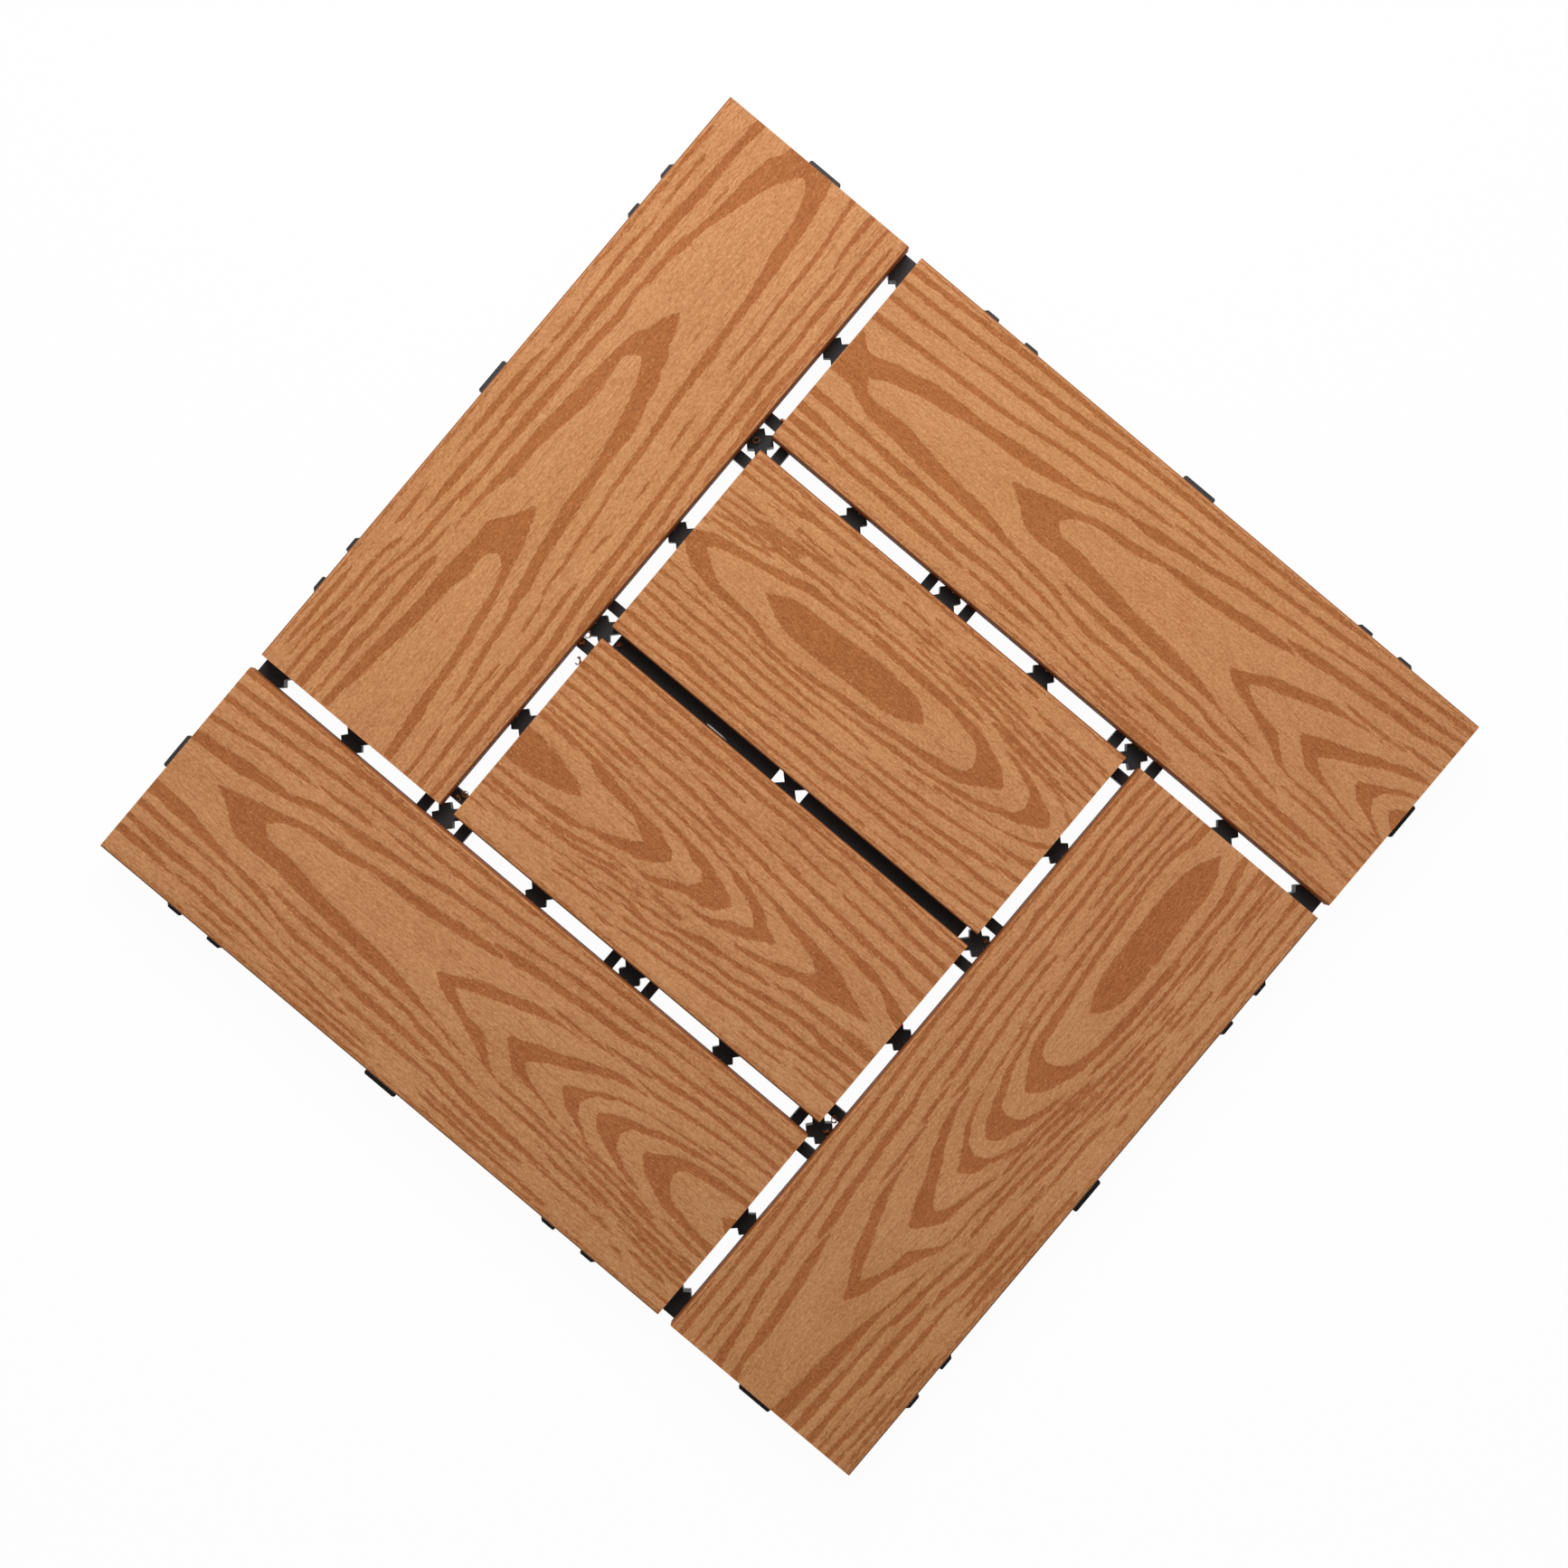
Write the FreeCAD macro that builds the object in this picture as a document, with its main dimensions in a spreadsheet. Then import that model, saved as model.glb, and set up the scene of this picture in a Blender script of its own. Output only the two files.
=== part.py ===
import FreeCAD, Part
import os
import Sketcher

# Interlocking deck tile: six wood-look boards in a pinwheel on one moulded grid.
# Millimetres, +Z up, origin on the ground under the middle of the tile.
# The grid has a square rim, pairs of ribs, thin webs, cross-shaped posts that reach
# the ground as feet, screw bosses, and tabs round its edge that lock tiles together.
# It is drawn as flat outlines, each raised to its own height and joined into one solid.

# Driving dimensions: alias, value in mm, what it is
SIZES = [
    ("board_width", 71.6, "width of every board"),
    ("middle_gap", 3.3, "open gap between the two inner boards"),
    ("board_gap", 5.15, "open gap between the other neighbouring boards"),
    ("board_thickness", 12.0, "thickness of every board"),
    ("board_edge_radius", 1.2, "rounding of the upper long edges"),
    ("base_height", 10.0, "ground to the underside of the boards"),
    ("channel_width", 5.3, "outer face of the rim to the middle of an edge rib"),
    ("tile_module", 303.4, "middle to middle of two tiles locked together"),
    ("rib_offset", 7.5, "grid line to the middle of each rib of a pair"),
    ("rib_width", 3.6, "thickness of the paired ribs"),
    ("rib_bottom", 4.0, "height of the ribs' lower edge above the ground"),
    ("web_width", 2.4, "thickness of the thin webs through the bosses"),
    ("web_bottom", 5.0, "height of the webs' and bosses' lower face, where the screw heads bear"),
    ("strip_width", 6.0, "width of the strips along the two middle lines"),
    ("rim_inset", 1.0, "outer face of the rim inside the boards' edge"),
    ("rim_wall", 2.2, "thickness of the rim's outer wall"),
    ("rim_top", 1.6, "thickness of the flange between rim wall and edge rib"),
    ("rim_bottom", 2.0, "height of the rim's lower edge above the ground"),
    ("post_notch", 2.75, "post centre to the root of each notch"),
    ("middle_notch", 2.1, "the same for the post in the middle of the tile"),
    ("post_tip_far", 4.15, "far coordinate of a short arm's corner"),
    ("post_tip_near", 1.7, "near coordinate of a short arm's corner"),
    ("boss_width", 12.0, "eight-sided screw boss across its flats"),
    ("boss_flat", 5.0, "length of the flats that the webs meet"),
    ("boss_hole", 4.4, "clearance hole for a screw"),
    ("screw_diameter", 4.0, "shank of a screw"),
    ("screw_length", 13.5, "under the head to the tip"),
    ("head_diameter", 7.6, "screw head"),
    ("head_height", 2.4, "screw head"),
    ("pilot_clearance", 0.05, "radial clearance of a screw in its board"),
    ("pilot_spare", 0.5, "pilot hole beyond the tip of the screw"),
    ("tab_reach", 4.0, "how far a tab stands out of the rim"),
    ("pair_bottom", 2.0, "height of the paired tabs' lower face"),
    ("pair_top", 4.7, "height of the paired tabs' upper face"),
    ("wide_bottom", 4.9, "height of the wide tabs' lower face, over a neighbour's paired tabs"),
    ("wide_top", 7.6, "height of the wide tabs' upper face"),
    ("wide_half", 6.1, "half the length of a wide tab along the edge"),
    ("wide_corner", 0.5, "bevel of a wide tab's outer corners"),
    ("pair_start", 5.3, "middle of a pair to its two tabs' near ends"),
    ("pair_end", 11.3, "middle of a pair to its two tabs' far ends"),
    ("pair_near_corner", 0.4, "bevel of a paired tab's near corner"),
    ("pair_far_corner", 1.3, "bevel of a paired tab's far corner"),
]

# Outer boards run round the tile, each turned a quarter from the one before
OUTER_BOARDS = ["outer_board_back", "outer_board_left", "outer_board_front", "outer_board_right"]
INNER_BOARDS = ["inner_board_back", "inner_board_front"]

# Middles of the grid's cells, and the rib middles on both sides of each
CELL_MIDDLES = ["-sizes.outer_cell", "-sizes.inner_cell", "sizes.inner_cell", "sizes.outer_cell"]
CELL_SPANS = [
    ("-sizes.edge_rib", "-sizes.outer_cell_start"),
    ("-sizes.inner_cell_end", "-sizes.rib_offset"),
    ("sizes.rib_offset", "sizes.inner_cell_end"),
    ("sizes.outer_cell_start", "sizes.edge_rib"),
]

# Cells with a screw; each stands for four, a quarter turn apart
SCREW_CELLS = [
    ("sizes.inner_cell", "sizes.inner_cell"),
    ("sizes.outer_cell", "sizes.outer_cell"),
    ("-sizes.inner_cell", "sizes.outer_cell"),
]

# Tabs along an edge, counted from its middle in quarters of the tile module
WIDE_TAB_PLACES = [-1.5, 0.5]
TAB_PAIR_PLACES = [-0.5, 1.5]

# Directions of a post's arms, and of the notch that comes before each
DIAGONALS = [(1, 1), (-1, 1), (-1, -1), (1, -1)]
NOTCHES = [(1, 0), (0, 1), (-1, 0), (0, -1)]

UPRIGHT = FreeCAD.Vector(0, 0, 1)
ALL_TURNS = (0, 1, 2, 3)
SAME_PLACE = 0.01

doc = FreeCAD.newDocument("deck_tile")
sheet = doc.addObject("Spreadsheet::Sheet", "sizes")


def fill_sheet():
    """Write the driving dimensions and the few values that follow from them."""
    for row, (alias, value, meaning) in enumerate(SIZES, start=1):
        sheet.set(f"A{row}", meaning)
        sheet.set(f"B{row}", str(value))
        sheet.setAlias(f"B{row}", alias)
    derived = [
        ("half_gap", "=middle_gap / 2", "middle to the inner boards' near edge"),
        ("inner_edge", "=half_gap + board_width", "middle to the inner boards' far edge"),
        ("outer_start", "=inner_edge + board_gap", "middle to the outer boards' near edge"),
        ("half_tile", "=outer_start + board_width", "middle to the boards' outer edge"),
        ("rim_half", "=half_tile - rim_inset", "middle to the rim's outer face"),
        ("rim_middle", "=rim_half - rim_wall / 2", "middle to the middle of the rim wall"),
        ("edge_rib", "=rim_half - channel_width", "middle to the middle of an edge rib"),
        ("grid_pitch", "=(edge_rib + rib_offset) / 2", "distance between grid lines"),
        ("rib_end", "=edge_rib + rib_width / 2", "middle to the outer face of an edge rib"),
        ("inner_cell", "=grid_pitch / 2", "middle to the middle of an inner cell"),
        ("outer_cell", "=(grid_pitch + rim_half) / 2", "middle to the middle of an outer cell"),
        ("inner_cell_end", "=grid_pitch - rib_offset", "middle to the far rib of an inner cell"),
        ("outer_cell_start", "=grid_pitch + rib_offset", "middle to the near rib of an outer cell"),
        ("arm_width", "=post_tip_far - post_tip_near", "step between an arm's two corners"),
        ("board_top", "=base_height + board_thickness", "height of the tile"),
        ("screw_tip", "=web_bottom + screw_length", "height of the screws' tips"),
    ]
    for row, (alias, formula, meaning) in enumerate(derived, start=len(SIZES) + 1):
        sheet.set(f"A{row}", meaning)
        sheet.set(f"B{row}", formula)
        sheet.setAlias(f"B{row}", alias)
    doc.recompute()


def size(alias):
    """One value of the sheet as a number."""
    return float(sheet.get(alias))


def outline_sketch(name):
    """A sketch in the ground plane, for an outline of the grid."""
    return doc.addObject("Sketcher::SketchObject", name)


def body_sketch(body, name, height):
    """A sketch on the body's own ground plane, lifted to a height from the sheet."""
    support = [item for item in body.Origin.OriginFeatures if item.Role == "XY_Plane"][0]
    sketch = body.newObject("Sketcher::SketchObject", name)
    sketch.AttachmentSupport = [(support, "")]
    sketch.MapMode = "FlatFace"
    sketch.setExpression("AttachmentOffset.Base.z", height)
    return sketch


def constrain(sketch, limits):
    """Add limits given as kind, geometry, point and expression, each tied to the sheet."""
    constraints = []
    for kind, geometry, point, expression in limits:
        value = float(sketch.evalExpression(expression))
        if point:
            constraints.append(Sketcher.Constraint(kind, geometry, point, value))
        else:
            constraints.append(Sketcher.Constraint(kind, geometry, value))
    first = sketch.ConstraintCount
    sketch.addConstraint(constraints)
    for index, limit in enumerate(limits, start=first):
        sketch.setExpression(f"Constraints[{index}]", limit[3])


def point_at(sketch, across, along):
    """A point given as two expressions."""
    return FreeCAD.Vector(float(sketch.evalExpression(across)), float(sketch.evalExpression(along)), 0)


def polygon(sketch, corners):
    """A closed outline through corners given as pairs of expressions."""
    first = sketch.GeometryCount
    count = len(corners)
    points = [point_at(sketch, across, along) for across, along in corners]
    sketch.addGeometry([Part.LineSegment(points[index - 1], points[index]) for index in range(count)])
    joints = []
    limits = []
    for index, (across, along) in enumerate(corners):
        after = first + (index + 1) % count
        joints.append(Sketcher.Constraint("Coincident", first + index, 2, after, 1))
        limits.append(("DistanceX", first + index, 2, across))
        limits.append(("DistanceY", first + index, 2, along))
    sketch.addConstraint(joints)
    constrain(sketch, limits)


def rectangle(sketch, left, right, front, back):
    polygon(sketch, [(left, front), (right, front), (right, back), (left, back)])


def circle(sketch, across, along, diameter):
    radius = float(sketch.evalExpression(diameter)) / 2
    centre = point_at(sketch, across, along)
    index = sketch.addGeometry(Part.Circle(centre, FreeCAD.Vector(0, 0, 1), radius))
    limits = [
        ("DistanceX", index, 3, across),
        ("DistanceY", index, 3, along),
        ("Diameter", index, 0, diameter),
    ]
    constrain(sketch, limits)


def bevelled_tab(sketch, left, right, left_bevel, right_bevel):
    """A tab standing out of the rim along Y, with its two outer corners bevelled."""
    near = "sizes.rim_middle"
    far = "sizes.rim_half + sizes.tab_reach"
    corners = [(left, near), (right, near), (right, f"{far} - {right_bevel}")]
    corners += [(f"{right} - {right_bevel}", far), (f"{left} + {left_bevel}", far)]
    polygon(sketch, corners + [(left, f"{far} - {left_bevel}")])


def turned(across, along, turn):
    """A place after some quarter turns, as two expressions."""
    for _ in range(turn):
        across, along = f"-({along})", across
    return across, along


def raise_outline(sketch, bottom, top, quarter_turns=(0,)):
    """Solids of one outline between two heights, one for each quarter turn."""
    solids = []
    for turn in quarter_turns:
        solid = doc.addObject("Part::Extrusion", f"{sketch.Name}_{turn}")
        solid.Base = sketch
        solid.DirMode = "Normal"
        solid.Solid = True
        solid.Placement = FreeCAD.Placement(FreeCAD.Vector(), FreeCAD.Rotation(UPRIGHT, 90 * turn))
        solid.setExpression("LengthFwd", f"({top}) - ({bottom})")
        solid.setExpression("Placement.Base.z", bottom)
        solids.append(solid)
    return solids


def rim():
    """Square outer wall, and the flange that joins it to the edge ribs."""
    wall = outline_sketch("rim_wall")
    outer = "sizes.rim_half"
    inner = "(sizes.rim_half - sizes.rim_wall)"
    rectangle(wall, f"-{outer}", outer, f"-{outer}", outer)
    rectangle(wall, f"-{inner}", inner, f"-{inner}", inner)
    flange = outline_sketch("rim_flange")
    middle = "sizes.rim_middle"
    rib = "sizes.edge_rib"
    rectangle(flange, f"-{middle}", middle, f"-{middle}", middle)
    rectangle(flange, f"-{rib}", rib, f"-{rib}", rib)
    walls = raise_outline(wall, "sizes.rim_bottom", "sizes.base_height")
    return walls + raise_outline(flange, "sizes.base_height - sizes.rim_top", "sizes.base_height")


def ribs():
    """Paired ribs beside each grid line, both ways, between the edge ribs."""
    outline = outline_sketch("ribs")
    half = "sizes.rib_width / 2"
    middles = ["-sizes.edge_rib", "sizes.edge_rib"]
    for line in (-1, 0, 1):
        for side in ("-", "+"):
            middles.append(f"{line} * sizes.grid_pitch {side} sizes.rib_offset")
    for middle in middles:
        rectangle(outline, "-sizes.rib_end", "sizes.rib_end", f"{middle} - {half}", f"{middle} + {half}")
    return raise_outline(outline, "sizes.rib_bottom", "sizes.base_height", (0, 1))


def webs():
    """Thin webs that cross in the middle of each cell."""
    outline = outline_sketch("webs")
    half = "sizes.web_width / 2"
    for line in CELL_MIDDLES:
        for left, right in CELL_SPANS:
            rectangle(outline, left, right, f"{line} - {half}", f"{line} + {half}")
    return raise_outline(outline, "sizes.web_bottom", "sizes.base_height", (0, 1))


def strips():
    """Broad strips on the two middle lines, between the ribs of the inner cells."""
    outline = outline_sketch("strips")
    half = "sizes.strip_width / 2"
    near = "sizes.rib_offset"
    rectangle(outline, near, "sizes.inner_cell_end", f"-{half}", half)
    return raise_outline(outline, "sizes.rib_bottom", "sizes.base_height", ALL_TURNS)


def post_outline(sketch, across, along, long_arms, notch="sizes.post_notch"):
    """A cross-shaped post: four diagonal arms with a notch between each two.

    Short arms end square just past the notches. Long arms, named by the signs of
    their direction, run on to the ribs beside the grid line.
    """
    corners = []
    for number, (east, north) in enumerate(DIAGONALS):
        far = "sizes.post_tip_far"
        near = "sizes.post_tip_near"
        if (east, north) in long_arms:
            far = "sizes.rib_offset"
            near = "(sizes.rib_offset - sizes.arm_width)"
        notch_x, notch_y = NOTCHES[number]
        corners.append((f"{across} + {notch_x} * {notch}", f"{along} + {notch_y} * {notch}"))
        steps = [(far, near), (near, far)] if notch_x else [(near, far), (far, near)]
        for step_x, step_y in steps:
            corners.append((f"{across} + {east} * {step_x}", f"{along} + {north} * {step_y}"))
    polygon(sketch, corners)


def edge_post(sketch, across, along):
    """The inner half of a post, standing out of an edge rib towards the middle."""
    corners = [(f"{across} - sizes.post_notch", along)]
    corners.append((f"{across} - sizes.post_tip_far", f"{along} - sizes.post_tip_near"))
    corners.append((f"{across} - sizes.post_tip_near", f"{along} - sizes.post_tip_far"))
    corners.append((f"{across} - sizes.post_tip_near", f"{along} + sizes.post_tip_far"))
    corners.append((f"{across} - sizes.post_tip_far", f"{along} + sizes.post_tip_near"))
    polygon(sketch, corners)


def posts():
    """Posts on every grid line: feet at its crossings, shorter ones halfway between them."""
    line = "sizes.grid_pitch"
    middle = outline_sketch("middle_post")
    post_outline(middle, "0", "0", DIAGONALS, "sizes.middle_notch")
    crossings = outline_sketch("crossing_posts")
    post_outline(crossings, line, line, [(-1, -1)])
    post_outline(crossings, line, "0", [(-1, -1)])
    edge = outline_sketch("edge_posts")
    for crossing in (-1, 0, 1):
        edge_post(edge, "sizes.edge_rib", f"{crossing} * {line}")
    halfway = outline_sketch("halfway_posts")
    for middle_of_cell in CELL_MIDDLES:
        post_outline(halfway, line, middle_of_cell, [(-1, 1), (-1, -1)])
    post_outline(halfway, "sizes.inner_cell", "0", DIAGONALS)
    post_outline(halfway, "sizes.outer_cell", "0", DIAGONALS)
    solids = raise_outline(middle, "0", "sizes.base_height")
    solids += raise_outline(crossings, "0", "sizes.base_height", ALL_TURNS)
    solids += raise_outline(edge, "0", "sizes.base_height", ALL_TURNS)
    return solids + raise_outline(halfway, "sizes.rib_bottom", "sizes.base_height", ALL_TURNS)


def bosses():
    """Eight-sided bosses where the webs cross."""
    outline = outline_sketch("bosses")
    half = "sizes.boss_width / 2"
    flat = "sizes.boss_flat / 2"
    for across, along in SCREW_CELLS:
        corners = []
        for east, north in DIAGONALS:
            steps = [(half, flat), (flat, half)] if east == north else [(flat, half), (half, flat)]
            for step_x, step_y in steps:
                corners.append((f"{across} + {east} * {step_x}", f"{along} + {north} * {step_y}"))
        polygon(outline, corners)
    return raise_outline(outline, "sizes.web_bottom", "sizes.base_height", ALL_TURNS)


def boss_holes():
    outline = outline_sketch("boss_holes")
    for across, along in SCREW_CELLS:
        circle(outline, across, along, "sizes.boss_hole")
    return raise_outline(outline, "0", "sizes.base_height", ALL_TURNS)


def tabs():
    """Wide tabs and pairs of small tabs by turns, four to an edge.

    The wide tabs stand higher, so that each lies over a pair of the next tile.
    """
    wide = outline_sketch("wide_tabs")
    bevel = "sizes.wide_corner"
    for place in WIDE_TAB_PLACES:
        middle = f"{place} * sizes.tile_module / 4"
        bevelled_tab(wide, f"{middle} - sizes.wide_half", f"{middle} + sizes.wide_half", bevel, bevel)
    pairs = outline_sketch("paired_tabs")
    near = "sizes.pair_near_corner"
    far = "sizes.pair_far_corner"
    for place in TAB_PAIR_PLACES:
        middle = f"{place} * sizes.tile_module / 4"
        bevelled_tab(pairs, f"{middle} - sizes.pair_end", f"{middle} - sizes.pair_start", far, near)
        bevelled_tab(pairs, f"{middle} + sizes.pair_start", f"{middle} + sizes.pair_end", near, far)
    solids = raise_outline(wide, "sizes.wide_bottom", "sizes.wide_top", ALL_TURNS)
    return solids + raise_outline(pairs, "sizes.pair_bottom", "sizes.pair_top", ALL_TURNS)


def joined(name, solids):
    union = doc.addObject("Part::MultiFuse", name)
    union.Shapes = solids
    union.Refine = True
    return union


def build_base():
    """The one-piece grid: all raised outlines joined, less the screw holes."""
    grid = doc.addObject("Part::Cut", "base_grid")
    grid.Label = "base_grid"
    grid.Base = joined("lattice", rim() + ribs() + webs() + strips() + posts() + bosses() + tabs())
    grid.Tool = joined("holes", boss_holes())
    doc.recompute()
    return grid


def build_board(label, left, right, front, back, screw_places):
    """One board: a flat plank with rounded upper long edges and blind pilot holes."""
    body = doc.addObject("PartDesign::Body", label)
    body.Label = label
    outline = body_sketch(body, "outline_" + label, "sizes.base_height")
    rectangle(outline, left, right, front, back)
    plank = body.newObject("PartDesign::Pad", "plank_" + label)
    plank.Profile = outline
    plank.setExpression("Length", "sizes.board_thickness")
    doc.recompute()
    edges = []
    for number, edge in enumerate(plank.Shape.Edges, start=1):
        start, end = [vertex.Point for vertex in edge.Vertexes]
        upper = min(start.z, end.z) > size("board_top") - SAME_PLACE
        lengthwise = abs(start.y - end.y) < SAME_PLACE
        if upper and lengthwise:
            edges.append(f"Edge{number}")
    rounding = body.newObject("PartDesign::Fillet", "edges_" + label)
    rounding.Base = (plank, edges)
    rounding.setExpression("Radius", "sizes.board_edge_radius")
    doc.recompute()
    pilots = body_sketch(body, "pilots_" + label, "sizes.base_height")
    diameter = "sizes.screw_diameter + 2 * sizes.pilot_clearance"
    for across, along in screw_places:
        circle(pilots, across, along, diameter)
    holes = body.newObject("PartDesign::Pocket", "pilot_holes_" + label)
    holes.Profile = pilots
    holes.Reversed = True
    holes.setExpression("Length", "sizes.screw_tip + sizes.pilot_spare - sizes.base_height")
    doc.recompute()
    if holes.Shape.Volume >= rounding.Shape.Volume:
        raise RuntimeError(f"the pilot holes of {label} cut nothing")
    return body


def build_boards():
    """Four outer boards in a pinwheel, and two inner boards side by side."""
    far = "sizes.inner_edge"
    inner_cell = "sizes.inner_cell"
    outer_cell = "sizes.outer_cell"
    outer_screws = [(f"-{inner_cell}", outer_cell), (outer_cell, outer_cell)]
    inner_screws = [(f"-{inner_cell}", inner_cell), (inner_cell, inner_cell)]
    boards = []
    for number, label in enumerate(OUTER_BOARDS):
        end = "sizes.half_tile"
        board = build_board(label, f"-{far}", end, "sizes.outer_start", end, outer_screws)
        board.Placement = FreeCAD.Placement(FreeCAD.Vector(), FreeCAD.Rotation(UPRIGHT, 90 * number))
        boards.append(board)
    for number, label in enumerate(INNER_BOARDS):
        board = build_board(label, f"-{far}", far, "sizes.half_gap", far, inner_screws)
        board.Placement = FreeCAD.Placement(FreeCAD.Vector(), FreeCAD.Rotation(UPRIGHT, 180 * number))
        boards.append(board)
    return boards


def build_screws():
    """Equal screws driven up through the bosses, each a separate solid."""
    profile = outline_sketch("screw_profile")
    profile.Placement = FreeCAD.Placement(FreeCAD.Vector(), FreeCAD.Rotation(FreeCAD.Vector(1, 0, 0), 90))
    head = "sizes.head_diameter / 2"
    shank = "sizes.screw_diameter / 2"
    seat = "sizes.web_bottom"
    lowest = f"{seat} - sizes.head_height"
    corners = [("0", lowest), (head, lowest), (head, seat), (shank, seat)]
    polygon(profile, corners + [(shank, "sizes.screw_tip"), ("0", "sizes.screw_tip")])
    screws = []
    for cell in SCREW_CELLS:
        for turn in ALL_TURNS:
            across, along = turned(*cell, turn)
            screw = doc.addObject("Part::Revolution", "screw")
            screw.Source = profile
            screw.Axis = UPRIGHT
            screw.Solid = True
            screw.setExpression("Placement.Base.x", across)
            screw.setExpression("Placement.Base.y", along)
            screws.append(screw)
    group = doc.addObject("Part::Compound", "board_screws")
    group.Label = "board_screws"
    group.Links = screws
    doc.recompute()
    return group


def check_document(sub_parts):
    """Stop if any object failed, or a sub-part has no valid shape."""
    for item in doc.Objects:
        if "Invalid" in item.State or "Error" in item.State:
            raise RuntimeError(f"{item.Name} failed: {item.State}")
    for part in sub_parts:
        if part.Shape.isNull() or not part.Shape.isValid():
            raise RuntimeError(f"{part.Label} has no valid shape")


fill_sheet()
sub_parts = [build_base()] + build_boards() + [build_screws()]
doc.recompute()
check_document(sub_parts)

os.makedirs("parts", exist_ok=True)
for part in sub_parts:
    part.Shape.exportStep(f"parts/{part.Label}.step")
    solids = len(part.Shape.Solids)
    print(f"{part.Label}: {solids} solid(s), {part.Shape.Volume / 1000:.1f} cm3")
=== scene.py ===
import math
import random

import bmesh
import bpy
import numpy as np
from mathutils import Matrix, Vector


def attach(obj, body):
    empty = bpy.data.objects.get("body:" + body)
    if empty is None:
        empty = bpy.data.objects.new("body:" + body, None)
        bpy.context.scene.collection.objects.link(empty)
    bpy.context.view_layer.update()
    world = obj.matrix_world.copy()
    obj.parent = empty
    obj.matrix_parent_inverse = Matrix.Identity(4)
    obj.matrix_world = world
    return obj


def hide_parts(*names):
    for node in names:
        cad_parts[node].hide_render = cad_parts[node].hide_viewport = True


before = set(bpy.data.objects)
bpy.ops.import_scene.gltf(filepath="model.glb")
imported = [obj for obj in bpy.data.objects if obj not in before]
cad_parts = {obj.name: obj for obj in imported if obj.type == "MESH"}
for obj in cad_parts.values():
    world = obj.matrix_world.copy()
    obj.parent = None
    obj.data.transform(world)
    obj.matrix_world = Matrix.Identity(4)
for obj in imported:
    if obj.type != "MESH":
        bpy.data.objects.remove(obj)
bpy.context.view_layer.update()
scene = bpy.context.scene

MM = 0.001

# Boards, mm
HALF_TILE = 150.0
BOARD_WIDTH = 71.6
MIDDLE_GAP = 3.3
BOARD_GAP = 5.15
INNER_EDGE = MIDDLE_GAP / 2 + BOARD_WIDTH
OUTER_START = INNER_EDGE + BOARD_GAP
BOARD_BOTTOM = 10.0
BOARD_TOP = 22.0
EDGE_RADIUS = 1.2
EDGE_ANGLES = (0, 15, 30, 45, 60, 75)
LOWER_BREAK = 0.4
UNDER_INSET = 9
UNDER_POINTS = 8
SIDE_POINTS = 5
GRID_STEP = 0.6
# how far the inner boards stop short along the middle gap, and over what width they give way
EDGE_TRIM = 0.55
TRIM_REACH = 4.0

# Grain pressed into the top, mm
PRESS_DEPTH = 0.1
PRESS_SLOPE = 0.8
PRESS_MARGIN = 1.5
DEPTH_LIMIT = 6.0
THIN_BAND = 1.7
THIN_SPREAD = 0.2
RIM_LINE_INSET = 1.35
RIM_LINE_HALF = 0.3

# Mark of a point on a cut end and on a side, 0 on top, and how far down the top goes, mm
END_MARK = 0.5
SIDE_MARK = 1.0
SIDE_DROP = 0.2
TOP_TOLERANCE = 0.01

# Board: quarter turns, span along X, middle line in Y, then its grain figure with the
# shift along it, the sense and the shift across it
OUTER_SPAN = (-INNER_EDGE, HALF_TILE)
INNER_SPAN = (-INNER_EDGE, INNER_EDGE)
OUTER_MIDDLE = (OUTER_START + HALF_TILE) / 2
INNER_MIDDLE = (MIDDLE_GAP / 2 + INNER_EDGE) / 2
BOARDS = {
    "outer_board_back": (0, OUTER_SPAN, OUTER_MIDDLE, "roll", 126.0, -1, -1.3),
    "outer_board_left": (1, OUTER_SPAN, OUTER_MIDDLE, "peaks", 0.0, 1, -0.4),
    "outer_board_front": (2, OUTER_SPAN, OUTER_MIDDLE, "roll", 0.0, 1, -0.4),
    "outer_board_right": (3, OUTER_SPAN, OUTER_MIDDLE, "roll", -63.5, 1, -1.2),
    "inner_board_back": (0, INNER_SPAN, INNER_MIDDLE, "roll", -88.5, 1, -3.65),
    "inner_board_front": (2, INNER_SPAN, INNER_MIDDLE, "knot", 0.0, 1, -0.75),
}

# Colours in sRGB, the darker and the lighter end of each
LIGHT_WOOD = ((185, 118, 67), (231, 169, 116))
DARK_WOOD = ((155, 87, 40), (199, 126, 72))
# side colour: partly the die-smooth surface, partly painted shade of the sides in the gaps
SIDE_WOOD_AND_SHADE = ((160, 94, 50), (182, 112, 64))
END_WOOD = ((176, 112, 66), (206, 146, 98))
WOOD_FLECK = (232, 174, 122)
PLASTIC = ((44, 44, 46), (59, 59, 61))
STEEL = ((176, 176, 170), (204, 204, 198))
SWARF = ((176, 98, 42), (226, 150, 84))
# near-white colour of the painted highlight strip along the middle gap
PAINTED_GLINT = ((232, 220, 208), (250, 244, 236))

# Noise: scale along, across and up, per mm
RAGGED_SCALE = (0.32, 3.4, 0.6)
WANDER_SCALE = (0.05, 0.3, 0.3)
FIBRE_SCALE = (0.22, 3.2, 1.2)
CLOUD_SCALE = (0.02, 0.09, 0.05)
SPECK_SCALE = (1.0, 2.3, 1.4)
STREAK_SCALE = (0.085, 1.95, 0.5)
FLECK_SCALE = (1.7, 2.6, 1.7)
SIDE_LINE_SCALE = (0.02, 1.0, 3.2)
GRIT_SCALE = (2.2, 2.2, 2.2)
PLASTIC_GRAIN_SCALE = (3.0, 3.0, 3.0)
PLASTIC_CLOUD_SCALE = (0.05, 0.05, 0.05)
STEEL_CLOUD_SCALE = (0.5, 0.5, 0.5)
SCRATCH_SCALE = (6.0, 0.4, 6.0)
SWARF_SCALE = (0.8, 0.8, 0.8)
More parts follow.
